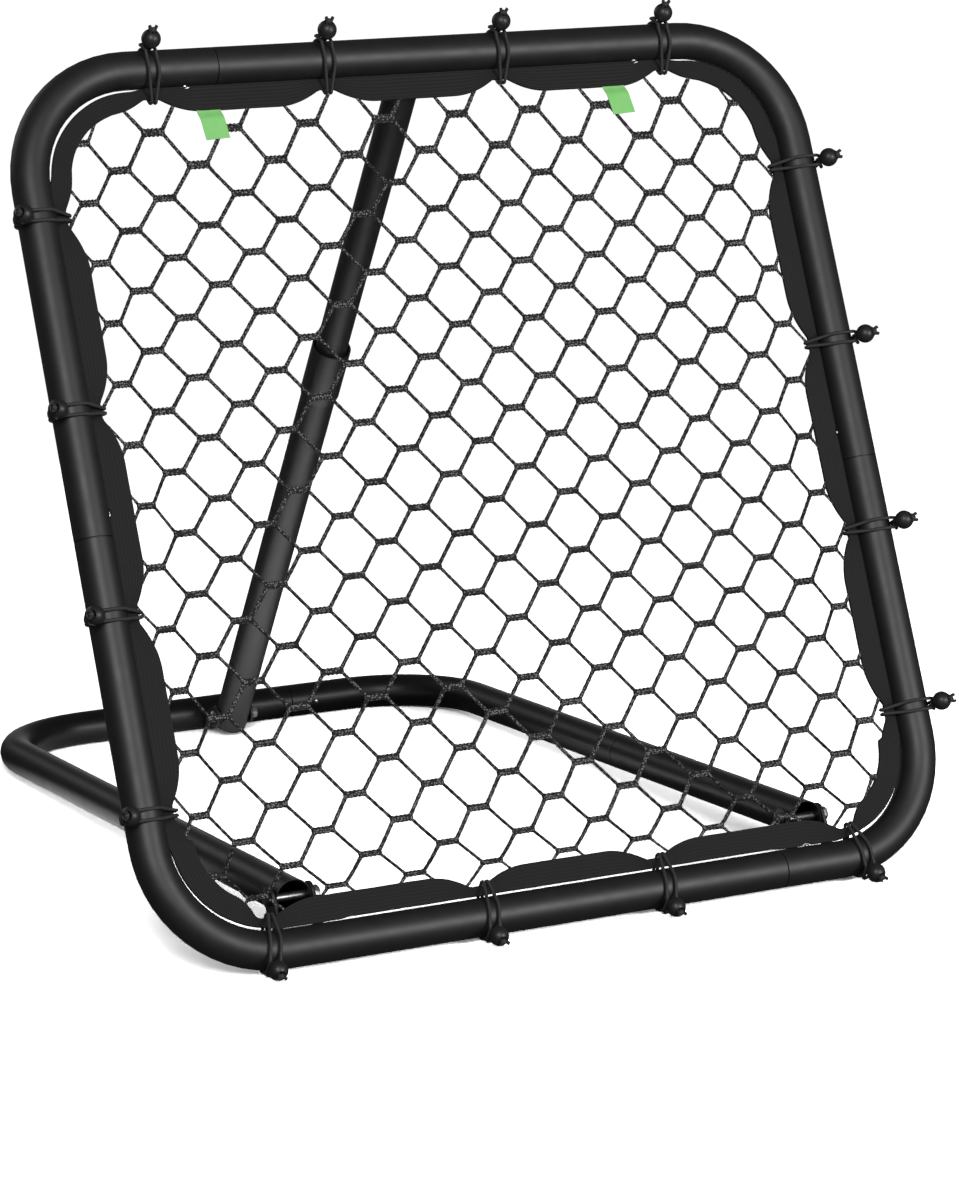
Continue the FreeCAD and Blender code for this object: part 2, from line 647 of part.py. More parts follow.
def pulled(point):
    """Where a point of the even net pattern lies in the stretched net."""
    held = max(0.0, 1 - min(abs(point.y - t) for t in SIDE_BUNGEES) / HELD_REACH)
    side = SIDE_PULL * (1 - HELD_SHARE * held) * max(0.0, SIDE_REACH - HALF_WIDTH + abs(point.x))
    slide = LOW_SLIDE * min(1.0, max(0.0, (SLIDE_REACH - point.y) / (SLIDE_REACH - SLIDE_FULL)))
    low = LOW_LIFT * (max(0.0, LOW_REACH - point.y) / LOW_REACH) ** 2
    inner, outer = TOP_FADE
    fade = min(1.0, max(0.0, (outer - abs(point.x)) / (outer - inner)))
    high = TOP_PULL * fade * max(0.0, TOP_REACH - FRAME_HEIGHT + point.y)
    return V(point.x - math.copysign(side, point.x) + slide, point.y + low + high, 0)


def mesh_gap(centre):
    """Six-sided gap between two knots of one column, inside its strands."""
    side = V(KNOT_PITCH - KNOT_LENGTH, -KNOT_ROW / 2, 0)
    tip = KNOT_PITCH - KNOT_LENGTH / 2
    half_height = (KNOT_ROW - KNOT_THICK) / 2
    tip_x = tip - STRAND / 2 * side.Length / (KNOT_ROW / 2)
    top_x = tip_x - half_height * side.x / (KNOT_ROW / 2)
    shape = [(tip_x, 0), (top_x, half_height), (-top_x, half_height), (-tip_x, 0),
             (-top_x, -half_height), (top_x, -half_height)]
    return [pulled(centre.add(V(x, y, 0))) for x, y in shape]


def net():
    """Knotted net as one holed sheet."""
    outline = net_outline(NET_GAP)
    limit = net_outline(NET_GAP + STRAND)
    columns = int(HALF_WIDTH / KNOT_PITCH)
    rows = int(FRAME_HEIGHT / KNOT_ROW) + 1
    holes = []
    for k in range(-columns, columns + 1):
        first = NET_ROW_START + (0.0 if k % 2 else KNOT_ROW / 2)
        for j in range(-rows, rows):
            gap = clipped(mesh_gap(V(k * KNOT_PITCH, first + j * KNOT_ROW, 0)), limit)
            if area(gap) > SMALLEST_GAP:
                holes.append(Part.makePolygon(gap + [gap[0]]))
    print("net gaps", len(holes))
    sheet = Part.Face([Part.makePolygon(outline + [outline[0]])] + holes, "Part::FaceMakerBullseye")
    sheet.translate(V(0, 0, -NET_THICK / 2))
    return sheet.extrude(V(0, 0, NET_THICK))


def tags():
    """Two small plain tags sewn to the top hem's front."""
    top = FRAME_HEIGHT - HEM_WIDE
    return [Part.makeBox(TAG_WIDTH, TAG_DROP + TAG_OVERLAP, TAG_THICK,
                         V(s - TAG_WIDTH / 2, top - TAG_DROP, HEM_THICK / 2)) for s in TAG_PLACES]


def belt(big_r, small_r, span):
    """Outline of a belt round two circles, the small one at -span, each arc in short tangent steps."""
    lean = math.acos((big_r - small_r) / span)
    first = math.pi - lean
    big = [first - 2 * first * i / LOOP_STEPS for i in range(LOOP_STEPS + 1)]
    small = [-first - 2 * lean * i / HEM_STEPS for i in range(HEM_STEPS + 1)]
    points = [V(big_r * math.cos(a), big_r * math.sin(a), 0) for a in big]
    return points + [V(small_r * math.cos(a) - span, small_r * math.sin(a), 0) for a in small]


def loop():
    """One bungee's band: x outward from the tube's axis, y to the front, z along the tube; with its neck."""
    inner = (TUBE_R + CORD_GAP) / math.cos(math.radians(LOOP_WRAP / LOOP_STEPS / 2))
    span = HEM_NARROW + 2 * CORD_GAP - LOOP_END_R
    face = polygon_face(belt(inner + CORD_THICK, LOOP_END_R + CORD_THICK, span)).cut(
        polygon_face(belt(inner, LOOP_END_R, span)))
    face.translate(V(0, 0, -BAND_WIDTH / 2))
    band = face.extrude(V(0, 0, BAND_WIDTH))
    start = inner + CORD_THICK / 2
    end = math.hypot(BALL_OUT, BALL_FRONT) - BALL_R * math.sin(math.radians(BALL_LATITUDES[-1]))
    neck = Part.makeBox(end - start, CORD_THICK, BAND_WIDTH, V(start, -CORD_THICK / 2, -BAND_WIDTH / 2))
    neck.rotate(V(0, 0, 0), Z_AXIS, math.degrees(math.atan2(BALL_FRONT, BALL_OUT)))
    return band.fuse(neck)


def ball():
    """Ball in the loop's coordinates, with few faces."""
    rings = []
    for latitude in BALL_LATITUDES:
        turn = math.radians(latitude)
        rings.append([V(BALL_R * math.cos(turn) * math.cos(2 * math.pi * i / BALL_SIDES),
                        BALL_R * math.cos(turn) * math.sin(2 * math.pi * i / BALL_SIDES), BALL_R * math.sin(turn))
                      for i in range(BALL_SIDES)])
    solid = capped(rings)
    out = V(BALL_OUT, BALL_FRONT, 0)
    solid.Placement = FreeCAD.Placement(out, FreeCAD.Rotation(Z_AXIS, out))
    return solid


def bungee_places():
    """Flat-frame placements of the bungees by side; local x outward, y front, z along the tube."""
    front = V(0, 0, 1)
    places = {"upper": [], "bottom": []}
    for s in TOP_BUNGEES:
        places["upper"].append((V(s, FRAME_HEIGHT, 0), V(0, 1, 0)))
    for t in SIDE_BUNGEES:
        places["upper"].append((V(-HALF_WIDTH, t, 0), V(-1, 0, 0)))
        places["upper"].append((V(HALF_WIDTH, t, 0), V(1, 0, 0)))
    for s in BOTTOM_BUNGEES:
        places["bottom"].append((V(s, 0, 0), V(0, -1, 0)))
    angle = math.radians(CORNER_BUNGEE_ANGLE)
    point = corner_bungee()
    for side in (-1, 1):
        places["bottom"].append((V(side * point.x, point.y, 0), V(side * math.sin(angle), -math.cos(angle), 0)))
    return {key: [FreeCAD.Placement(p, FreeCAD.Rotation(out, front, out.cross(front), "XYZ")) for p, out in group]
            for key, group in places.items()}


def write(name, shapes, placement):
    """Places one sub-part, checks it and writes its STEP file."""
    solids = []
    for shape in shapes:
        solids += moved(shape, placement).Solids
    for solid in solids:
        if not solid.isValid() or solid.Volume <= 0:
            print("bad solid in", name)
    out = solids[0] if len(solids) == 1 else Part.makeCompound(solids)
    out.exportStep("parts/" + name + ".step")


def main():
    """Builds every sub-part."""
    os.makedirs("parts", exist_ok=True)
    frame = frame_place()
    base = base_place()
    strut = strut_place()
    for name, tube in frame_tubes().items():
        write(name, [tube], frame)
    for name, tube in base_tubes().items():
        write(name, [tube], base)
    for name, group, centre, inward, along in button_places():
        write(name, [sprung_button(centre, inward, along)], group)
    write("arm_brackets", arm_brackets(), frame)
    write("strut_bracket", strut_bracket(), frame)
    write("foot_bracket", foot_bracket(), base)
    write("frame_bolts", [bolt(c, w) for c, w in frame_bolt_places()], frame)
    write("frame_nuts", [nut(c, w) for c, w in frame_bolt_places()], frame)
    write("foot_bolt", [bolt(*foot_bolt_place())], base)
    write("foot_nut", [nut(*foot_bolt_place())], base)
    write("top_stud", [stud()], frame)
    write("hem", [hem()], frame)
    write("net", [net()], frame)
    write("tags", tags(), frame)
    for key, group in bungee_places().items():
        write("bungee_cords_" + key, [moved(loop(), place) for place in group], frame)
        write("bungee_balls_" + key, [moved(ball(), place) for place in group], frame)
    write("strut_lower", [strut_lower()], strut)
    write("strut_collar", [strut_collar()], strut)
    write("strut_upper", [strut_upper()], strut)
    foot, top = strut_ends()
    print("bar height", round(BAR_Z, 2), "base pitch", round(BASE_PITCH, 3), "lean", round(LEAN, 3))
    print("strut foot", foot, "top", top, "length", round(strut_length(), 2))
    pivot = frame.multVec(V(0, *arm_pivot()))
    print("arm pivot", pivot)
    print("cord radii", TUBE_R + CORD_GAP + CORD_THICK / 2, LOOP_END_R + CORD_THICK / 2)


main()
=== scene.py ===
"""Studio scene of a pitch back rebounder, dressed over its CAD frame.

Sizes are metres. The frame is modelled flat, x along its width, y up it and z out of its front. The base is
modelled flat too, its origin on the frame's bottom bar, and the strut upright on its foot bolt. Each is then
set in its place.
"""

import logging
import math
from dataclasses import dataclass, field
from enum import Enum
from typing import Iterable, Sequence

import bpy
from mathutils import Matrix, Vector

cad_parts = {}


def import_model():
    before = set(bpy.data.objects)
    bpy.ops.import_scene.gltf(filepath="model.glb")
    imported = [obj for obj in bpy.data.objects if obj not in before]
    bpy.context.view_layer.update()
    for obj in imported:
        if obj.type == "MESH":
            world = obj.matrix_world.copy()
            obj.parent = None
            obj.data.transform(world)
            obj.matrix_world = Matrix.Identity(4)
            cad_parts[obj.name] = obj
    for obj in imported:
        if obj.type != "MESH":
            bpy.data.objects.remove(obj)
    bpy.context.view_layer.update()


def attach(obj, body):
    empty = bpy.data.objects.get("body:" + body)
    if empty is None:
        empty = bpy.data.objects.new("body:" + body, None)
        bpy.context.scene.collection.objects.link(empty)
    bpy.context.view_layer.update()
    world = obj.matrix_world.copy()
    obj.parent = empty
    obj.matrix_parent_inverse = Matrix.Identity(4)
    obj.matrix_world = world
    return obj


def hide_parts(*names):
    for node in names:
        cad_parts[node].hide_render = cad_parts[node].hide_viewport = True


LOG = logging.getLogger("rebounder")
MM = 0.001
X_AXIS = Vector((1, 0, 0))
Y_AXIS = Vector((0, 1, 0))
Z_AXIS = Vector((0, 0, 1))
Piece = bpy.types.Object
Colour = tuple[float, float, float]
Point = tuple[float, float, float]
Outline = Sequence[tuple[float, float]]
STRAIGHT = 0.99  # Share of an outward direction past which it belongs to a straight leg.
THROUGH = 1.2  # Radii that a cutter reaches past the axis of what it cuts.


def held(value: float) -> float:
    """Value held between nought and one."""
    return min(max(value, 0.0), 1.0)


def eased(value: float) -> float:
    """Value held between nought and one, with a soft start and end."""
    value = held(value)
    return value * value * (3 - 2 * value)


def rotation(degrees: float, axis: str) -> Matrix:
    """Turn about an axis."""
    return Matrix.Rotation(math.radians(degrees), 4, axis)


class Body(str, Enum):
    """Rigid bodies of the CAD frame that pieces ride on."""

    BASE = "base"
    FRAME = "frame"
    LOWER = "strut_lower"
    UPPER = "strut_upper"


class Side(Enum):
    """Sides of the net frame, each with the direction out of the frame."""

    TOP = (0, 1, 0)
    LEFT = (-1, 0, 0)
    RIGHT = (1, 0, 0)
    BOTTOM = (0, -1, 0)

    @property
    def outward(self) -> Vector:
        """Direction out of the frame on this side."""
        return Vector(self.value)


@dataclass(frozen=True)
class Layout:
    """Driving sizes of the tubes and the places of the three groups."""

    tube_r: float = 19.0 * MM
    upper_r: float = 17.0 * MM
    bolt_hole_r: float = 4.25 * MM
    wall: float = 1.5 * MM
    width: float = 848.3 * MM
    height: float = 871.0 * MM
    frame_bend: float = 115.7 * MM
    base_width: float = 567.3 * MM
    base_depth: float = 900.6 * MM
    base_bend: float = 118.6 * MM
    base_rise: float = 40.0 * MM
    frame_lean: float = 20.14
    arm_mouth: float = 26.5 * MM
    pivot_setback: float = 12.0 * MM
    bar_z: float = 22.7 * MM
    strut_top_drop: float = 23.3 * MM
    strut_top_back: float = 27.3 * MM
    foot_forward: float = 49.0 * MM
    foot_rise: float = 4.0 * MM
    seam_gap: float = 0.9 * MM
    spigot_length: float = 60.0 * MM
    slip: float = 0.25 * MM

    @property
    def bore_r(self) -> float:
        """Radius of a tube's bore."""
        return self.tube_r - self.wall

    @property
    def half_width(self) -> float:
        """Half the frame's width between tube axes."""
        return self.width / 2

    @property
    def half_base(self) -> float:
        """Half the base's width between tube axes."""
        return self.base_width / 2

    @property
    def pitch(self) -> float:
        """Angle of the base to the floor, in radians."""
        reach = math.hypot(self.base_depth, self.base_rise)
        return math.atan2(self.base_rise, self.base_depth) + math.asin((self.bar_z - self.tube_r) / reach)

    @property
    def frame_place(self) -> Matrix:
        """Matrix that sets the flat frame in its place."""
        lean = math.radians(90 - self.frame_lean) - self.pitch
        return Matrix.Translation((0, 0, self.bar_z)) @ Matrix.Rotation(lean, 4, "X")

    @property
    def base_place(self) -> Matrix:
        """Matrix that sets the flat base in its place."""
        return Matrix.Translation((0, 0, self.bar_z)) @ Matrix.Rotation(-self.pitch, 4, "X")

    @property
    def arm_pivot(self) -> Vector:
        """Flat-frame (0, y, z) of the arms' bolts.

        Returns:
            The place, its x left at nought.
        """
        lean = math.radians(self.frame_lean)
        y = self.arm_mouth + self.pivot_setback
        return Vector((0, y * math.sin(lean) + self.base_rise * math.cos(lean),
                       self.base_rise * math.sin(lean) - y * math.cos(lean)))

    @property
    def foot_pivot(self) -> Vector:
        """Flat-base place of the strut's foot bolt."""
        return Vector((0, self.base_depth - self.foot_forward, self.base_rise + self.foot_rise))

    @property
    def top_pivot(self) -> Vector:
        """Flat-frame place of the strut's top bolt."""
        return Vector((0, self.height - self.strut_top_drop, -self.strut_top_back))

    @property
    def strut_length(self) -> float:
        """Distance between the strut's two bolts."""
        return (self.frame_place @ self.top_pivot - self.base_place @ self.foot_pivot).length

    @property
    def strut_place(self) -> Matrix:
        """Matrix that leans the upright strut from its foot bolt to its top bolt.

        Returns:
            The matrix.
        """
        foot, top = self.base_place @ self.foot_pivot, self.frame_place @ self.top_pivot
        tilt = math.atan2(foot.y - top.y, top.z - foot.z)
        return Matrix.Translation(foot) @ Matrix.Rotation(tilt, 4, "X")


class Graph:
    """Nodes of one material or of the world."""

    def __init__(self, tree: bpy.types.NodeTree) -> None:
        """Keep the node tree."""
        self.tree = tree

    def feed(self, node: bpy.types.Node, inputs: "Inputs") -> None:
        """Link signals to a node's sockets and set its other values.

        Args:
            node: Node whose sockets are set.
            inputs: Signals and values of its sockets, by name or number.
        """
        for key, value in inputs.items():
            if isinstance(value, Signal):
                self.tree.links.new(value.socket, node.inputs[key])
            else:
                node.inputs[key].default_value = value

    def add(self, kind: str, output: int | str, inputs: "Inputs", **settings: object) -> "Signal":
        """Add a node.

        Args:
            kind: Its type, less the "ShaderNode" that every type starts with.
            output: Socket that the result leaves from.
            inputs: Signals and values of its sockets, by name or number.
            settings: Its properties, which are set first.

        Returns:
            The result.
        """
        node = self.tree.nodes.new("ShaderNode" + kind)
        for key, value in settings.items():
            setattr(node, key, value)
        self.feed(node, inputs)
        return Signal(self, node.outputs[output])

    def place(self, system: str = "Object") -> "Signal":
        """Coordinates of the surface."""
        return self.add("TexCoord", system, {})

    def rays(self) -> tuple["Signal", "Signal"]:
        """One on the camera's rays, and one on rays that are mirrored or let through.

        Returns:
            The two signals.
        """
        camera, glossy, through = (self.add("LightPath", name, {}) for name in
                                   ("Is Camera Ray", "Is Glossy Ray", "Is Transmission Ray"))
        return camera, glossy + through


class Signal:
    """Value travelling through nodes, with plain arithmetic."""

    def __init__(self, graph: Graph, socket: bpy.types.NodeSocket) -> None:
        """Keep the graph and the socket that the value leaves from."""
        self.graph = graph
        self.socket = socket

    def _math(self, operation: str, *others: "Signal | float") -> "Signal":
        """Result of one Math node fed with this value and the others."""
        return self.graph.add("Math", 0, dict(enumerate((self, *others))), operation=operation)

    def __add__(self, other: "Signal | float") -> "Signal":
        """Sum."""
        return self._math("ADD", other)

    def __mul__(self, other: "Signal | float") -> "Signal":
        """Product."""
        return self._math("MULTIPLY", other)

    def sine(self) -> "Signal":
        """Sine of the value."""
        return self._math("SINE")

    def spread(self, low: float, high: float, to_low: float, to_high: float) -> "Signal":
        """Value moved from one range to another, held at its ends.

        Args:
            low: Start of the range the value comes in.
            high: End of that range.
            to_low: Result at the start.
            to_high: Result at the end.

        Returns:
            The moved value.
        """
        return self.graph.add("MapRange", 0, dict(enumerate((self, low, high, to_low, to_high))))


Inputs = dict[int | str, Signal | float | Sequence[float]]


class Palette(Graph):
    """Nodes of one material round a Principled shader."""

    def __init__(self, name: str, roughness: float, metallic: float = 0.0, gloss: float = 0.5) -> None:
        """Start a material.

        Args:
            name: Name of the material.
            roughness: Roughness where nothing varies it.
            metallic: One for bare metal, nought for the rest.
            gloss: Specular level.
        """
        self.material = bpy.data.materials.new(name)
        self.material.use_nodes = True
        super().__init__(self.material.node_tree)
        self.shader = next(n for n in self.tree.nodes if n.type == "BSDF_PRINCIPLED")
        self.feed(self.shader, {"Roughness": roughness, "Metallic": metallic, "Specular IOR Level": gloss})

    def away(self, centre: Sequence[float]) -> Signal:
        """Distance from a point, in metres."""
        return self.add("VectorMath", "Value", {0: self.place(), 1: centre}, operation="DISTANCE")

    def across(self) -> Signal:
        """Second coordinate of the piece's own UV map."""
        return self.add("SeparateXYZ", 1, {0: self.add("UVMap", 0, {})})

    def noise(self, scale: float, detail: float = 2.0, rough: float = 0.5) -> Signal:
        """Cloudy noise on Object coordinates.

        Args:
            scale: Waves per metre.
            detail: Number of finer layers.
            rough: Weight of the finer layers.

        Returns:
            Noise from nought to one.
        """
        return self.add("TexNoise", 0, {"Scale": scale, "Detail": detail, "Roughness": rough,
                                        "Vector": self.place()})

    def dots(self, scale: float, jitter: float) -> Signal:
        """Distance from scattered dots on Object coordinates.

        Args:
            scale: Dots per metre.
            jitter: How far they leave an even grid, from nought to one.

        Returns:
            Nought at a dot, rising away from it.
        """
        return self.add("TexVoronoi", "Distance", {"Scale": scale, "Randomness": jitter,
                                                   "Vector": self.place()})

    def blend(self, amount: Signal, low: Colour, high: Colour) -> None:
        """Colour the surface between two linear colours."""
        mixed = self.add("Mix", 2, {0: amount, 6: (*low, 1.0), 7: (*high, 1.0)}, data_type="RGBA")
        self.feed(self.shader, {"Base Color": mixed})

    def emboss(self, height: Signal, depth: float) -> None:
        """Raise the surface by a height map, its height of one in metres."""
        bump = self.add("Bump", 0, {"Strength": 1.0, "Distance": depth, "Height": height})
        self.feed(self.shader, {"Normal": bump})


@dataclass(frozen=True)
class Finish:
    """Finish whose colour, and roughness if it wears, drift in a cloudy pattern over a fine grain.

    A pattern is its waves per metre and its finer layers; wear is how far roughness drops and rises.
    """

    name: str
    dark: Colour
    light: Colour
    roughness: float
    cloud: tuple[float, float]
    grain: tuple[float, float] | None = None
    grain_height: float = 0.0
    wear: tuple[float, float] | None = None
    metallic: float = 0.0
    gloss: float = 0.5

    def build(self) -> bpy.types.Material:
        """Make the material.

        Returns:
            The material.
        """
        palette = Palette(self.name, self.roughness, self.metallic, self.gloss)
        cloud = palette.noise(*self.cloud)
        palette.blend(cloud, self.dark, self.light)
        if self.wear:
            low, high = self.roughness - self.wear[0], self.roughness + self.wear[1]
            palette.feed(palette.shader, {"Roughness": cloud.spread(0.2, 0.8, low, high)})
        if self.grain:
            palette.emboss(palette.noise(*self.grain), self.grain_height)
        return palette.material


@dataclass(frozen=True)
class PowderCoat(Finish):
    """Satin black powder coat with a faint orange peel."""

    name: str = "black_powder_coat"
    dark: Colour = (0.007,) * 3
    light: Colour = (0.010,) * 3
    roughness: float = 0.5
    cloud: tuple[float, float] = (60.0, 2.0)
    grain: tuple[float, float] = (900.0, 1.0)
    grain_height: float = 0.03 * MM
    wear: tuple[float, float] = (0.03, 0.04)
    gloss: float = 0.68


@dataclass(frozen=True)
class BrightSteel(Finish):
    """Zinc plated steel with fine wear."""

    name: str = "bright_steel"
    dark: Colour = (0.25, 0.25, 0.26)
    light: Colour = (0.42, 0.42, 0.43)
    roughness: float = 0.36
    cloud: tuple[float, float] = (400.0, 3.0)
    wear: tuple[float, float] = (0.06, 0.1)
    metallic: float = 1.0


@dataclass(frozen=True)
class MouldedPlastic(Finish):
    """Black moulded plastic with a soft shine."""

    name: str = "black_plastic"
    dark: Colour = (0.012,) * 3
    light: Colour = (0.02,) * 3
    roughness: float = 0.42
    cloud: tuple[float, float] = (300.0, 2.0)
    grain: tuple[float, float] = (2500.0, 1.0)
    grain_height: float = 0.02 * MM


@dataclass(frozen=True)
class BraidedElastic(Finish):
    """Black elastic cord with a braided cover."""

    name: str = "black_elastic"
    dark: Colour = (0.008,) * 3
    light: Colour = (0.05,) * 3
    roughness: float = 0.7
    cloud: tuple[float, float] = (1800.0, 2.0)
    grain: tuple[float, float] = (2200.0, 2.0)
    grain_height: float = 0.12 * MM


@dataclass(frozen=True)
class GreenTape(Finish):
    """Pale green woven tape without print."""

    name: str = "green_tape"
    dark: Colour = (0.21, 0.60, 0.16)
    light: Colour = (0.28, 0.68, 0.22)
    roughness: float = 0.7
    cloud: tuple[float, float] = (120.0, 3.0)
    grain: tuple[float, float] = (3000.0, 1.0)
    grain_height: float = 0.1 * MM


@dataclass(frozen=True)
class Netting(Finish):
    """Charcoal twisted twine with pale flecks."""

    name: str = "charcoal_netting"
    dark: Colour = (0.003,) * 3
    light: Colour = (0.22,) * 3
    roughness: float = 0.75
    cloud: tuple[float, float] = (420.0, 0.6)

    def build(self) -> bpy.types.Material:
        """Make the material, its cloud a scatter of flecks with some jitter.

        Returns:
            The material.
        """
        palette = Palette(self.name, self.roughness)
        palette.blend(palette.dots(*self.cloud).spread(0.26, 0.44, 1.0, 0.0), self.dark, self.light)
        palette.emboss(palette.noise(1500.0, 2.0, 0.6), 0.3 * MM)
        return palette.material


@dataclass(frozen=True)
class Webbing(Finish):
    """Black woven band with ribs along it; its UV map runs along u and across v."""

    name: str = "black_webbing"
    dark: Colour = (0.004,) * 3
    light: Colour = (0.014,) * 3
    roughness: float = 0.85
    cloud: tuple[float, float] = (1400.0, 2.0)
    ribs: float = 7.0

    def build(self) -> bpy.types.Material:
        """Make the material.

        Returns:
            The material.
        """
        palette = Palette(self.name, self.roughness)
        ribs = (palette.across() * (2 * math.pi * self.ribs)).sine() * 0.5 + 0.5
        weave = palette.noise(*self.cloud)
        # The weave noise gives the band its own random tone. The rib term paints shade: lighter colour on the
        # rib crests, darker colour in their grooves.
        palette.blend(weave * 0.5 + ribs * 0.4, self.dark, self.light)
        palette.emboss(ribs + weave * 0.35, 0.6 * MM)
        return palette.material


class Bench:
    """Hand tools: primitives, edit-mode moves, modifiers and joining."""

    @staticmethod
    def clear() -> None:
        """Leave nothing selected, in object mode."""
        if bpy.context.object and bpy.context.object.mode != "OBJECT":
            bpy.ops.object.mode_set(mode="OBJECT")
        bpy.ops.object.select_all(action="DESELECT")

    @staticmethod
    def take(piece: Piece) -> Piece:
        """Select one piece alone and make it active.

        Args:
            piece: Piece to select.

        Returns:
            The piece.
        """
        Bench.clear()
        piece.select_set(True)
        bpy.context.view_layer.objects.active = piece
        return piece

    @staticmethod
    def edit(piece: Piece) -> None:
        """Open a piece in edit mode with all of it selected.

        Args:
            piece: Piece to open.
        """
        Bench.take(piece)
        bpy.ops.object.mode_set(mode="EDIT")
        bpy.ops.mesh.select_all(action="SELECT")

    @staticmethod
    def close() -> None:
        """Make the normals point outwards and leave edit mode."""
        bpy.ops.mesh.select_all(action="SELECT")
        bpy.ops.mesh.normals_make_consistent(inside=False)
        bpy.ops.object.mode_set(mode="OBJECT")

    @staticmethod
    def apply(piece: Piece) -> Piece:
        """Move a piece's place into its mesh.

        Args:
            piece: Piece whose place is applied.

        Returns:
            The piece.
        """
        Bench.take(piece)
        bpy.ops.object.transform_apply(location=True, rotation=True, scale=True)
        return piece

    @staticmethod
    def modify(piece: Piece, kind: str, **settings: object) -> Piece:
        """Add a modifier and apply it.

        Args:
            piece: Piece to change.
            kind: Modifier type.
            settings: Values set on the modifier.

        Returns:
            The piece.
        """
        Bench.take(piece)
        modifier = piece.modifiers.new(kind.lower(), kind)
        for key, value in settings.items():
            setattr(modifier, key, value)
        bpy.ops.object.modifier_apply(modifier=modifier.name)
        return piece

    @staticmethod
    def cut(piece: Piece, cutters: Iterable[Piece]) -> Piece:
        """Take the cutters' shapes out of a piece and delete them.

        Args:
            piece: Piece to cut.
            cutters: Solids to take out of it.

        Returns:
            The piece.
        """
        for cutter in cutters:
            Bench.modify(piece, "BOOLEAN", operation="DIFFERENCE", solver="EXACT", object=cutter)
            bpy.data.objects.remove(cutter)
        return piece

    @staticmethod
    def join(pieces: Sequence[Piece], name: str) -> Piece:
        """Join pieces into one with a new name.

        Args:
            pieces: Pieces to join, the first of which takes in the rest.
            name: Name of the whole and of its mesh.

        Returns:
            The whole.
        """
        Bench.clear()
        for piece in pieces:
            piece.select_set(True)
        bpy.context.view_layer.objects.active = pieces[0]
        if len(pieces) > 1:
            bpy.ops.object.join()
        whole = bpy.context.view_layer.objects.active
        whole.name = name
        whole.data.name = name
        return whole

    @staticmethod
    def copy(piece: Piece, place: Matrix) -> Piece:
        """Copy a piece, its own mesh set in another place.

        Args:
            piece: Piece to copy.
            place: Matrix that its mesh is moved by.

        Returns:
            The copy.
        """
        twin = piece.copy()
        twin.data = piece.data.copy()
        twin.data.transform(place)
        if place.determinant() < 0:
            twin.data.flip_normals()
        bpy.context.scene.collection.objects.link(twin)
        return twin

    @staticmethod
    def smooth(piece: Piece, angle: float = 35.0) -> Piece:
        """Shade a piece smooth up to an angle in degrees.

        Args:
            piece: Piece to shade.
            angle: Largest turn between faces that still looks smooth.

        Returns:
            The piece.
        """
        Bench.take(piece)
        bpy.ops.object.shade_smooth_by_angle(angle=math.radians(angle))
        return piece

    @staticmethod
    def disc(name: str, centre: Vector, axis: Vector, radius: float, sides: int = 40) -> Piece:
        """Filled disc to be shaped further.

        Args:
            name: Name of the piece.
            centre: Middle of the disc.
            axis: Its normal.
            radius: Its radius.
            sides: Corners round it.

        Returns:
            The disc.
        """
        Bench.clear()
        bpy.ops.mesh.primitive_circle_add(vertices=sides, radius=radius, fill_type="NGON", location=centre,
                                          rotation=axis.to_track_quat("Z", "Y").to_euler())
        piece = bpy.context.object
        piece.name = name
        return Bench.apply(piece)

    @staticmethod
    def pull(move: Vector) -> None:
        """Extrude what is selected by a vector."""
        bpy.ops.mesh.extrude_region_move(TRANSFORM_OT_translate={"value": move})

    @staticmethod
    def ring(name: str, centre: Vector, axis: Vector, radius: float, wall: float) -> Piece:
        """Flat ring, left in edit mode with all of it selected, to be pulled into a tube.

        Args:
            name: Name of the piece.
            centre: Middle of the ring.
            axis: Its normal.
            radius: Its outer radius.
            wall: Its width.

        Returns:
            The ring.
        """
        piece = Bench.disc(name, centre, axis, radius)
        Bench.edit(piece)
        bpy.ops.mesh.inset(thickness=wall)
        bpy.ops.mesh.delete(type="FACE")
        bpy.ops.mesh.select_all(action="SELECT")
        return piece

    @staticmethod
    def bevel(piece: Piece, width: float, angle: float = 30.0, segments: int = 2) -> Piece:
        """Round the edges of a piece that turn by more than an angle in degrees."""
        return Bench.modify(piece, "BEVEL", width=width, segments=segments, limit_method="ANGLE",
                            angle_limit=math.radians(angle))

    @staticmethod
    def bar(name: str, start: Vector, end: Vector, radius: float, sides: int = 32) -> Piece:
        """Solid round bar between two points.

        Args:
            name: Name of the piece.
            start: Middle of one end.
            end: Middle of the other end.
            radius: Its radius.
            sides: Corners round it.

        Returns:
            The bar.
        """
        piece = Bench.disc(name, start, end - start, radius, sides)
        Bench.edit(piece)
        Bench.pull(end - start)
        Bench.close()
        return piece

    @staticmethod
    def turned(name: str, profile: Outline, sides: int = 40) -> Piece:
        """Solid of revolution on the Z axis, its outline spun in edit mode.

        Args:
            name: Name of the piece.
            profile: Points of the outline as (radius, height), from the axis to the axis.
            sides: Steps round the axis.

        Returns:
            The solid.
        """
        Bench.clear()
        bpy.ops.mesh.primitive_plane_add(size=1.0)
        piece = bpy.context.object
        piece.name = name
        Bench.edit(piece)
        bpy.ops.mesh.merge(type="CENTER")
        bpy.ops.object.mode_set(mode="OBJECT")
        piece.data.vertices[0].co = (profile[0][0], 0, profile[0][1])
        Bench.edit(piece)
        for before, after in zip(profile, profile[1:]):
            Bench.pull(Vector((after[0] - before[0], 0, after[1] - before[1])))
        bpy.ops.mesh.select_all(action="SELECT")
        bpy.ops.mesh.spin(steps=sides, angle=2 * math.pi, center=(0, 0, 0), axis=(0, 0, 1))
        bpy.ops.mesh.select_all(action="SELECT")
        bpy.ops.mesh.remove_doubles(threshold=0.01 * MM)
        Bench.close()
        return piece


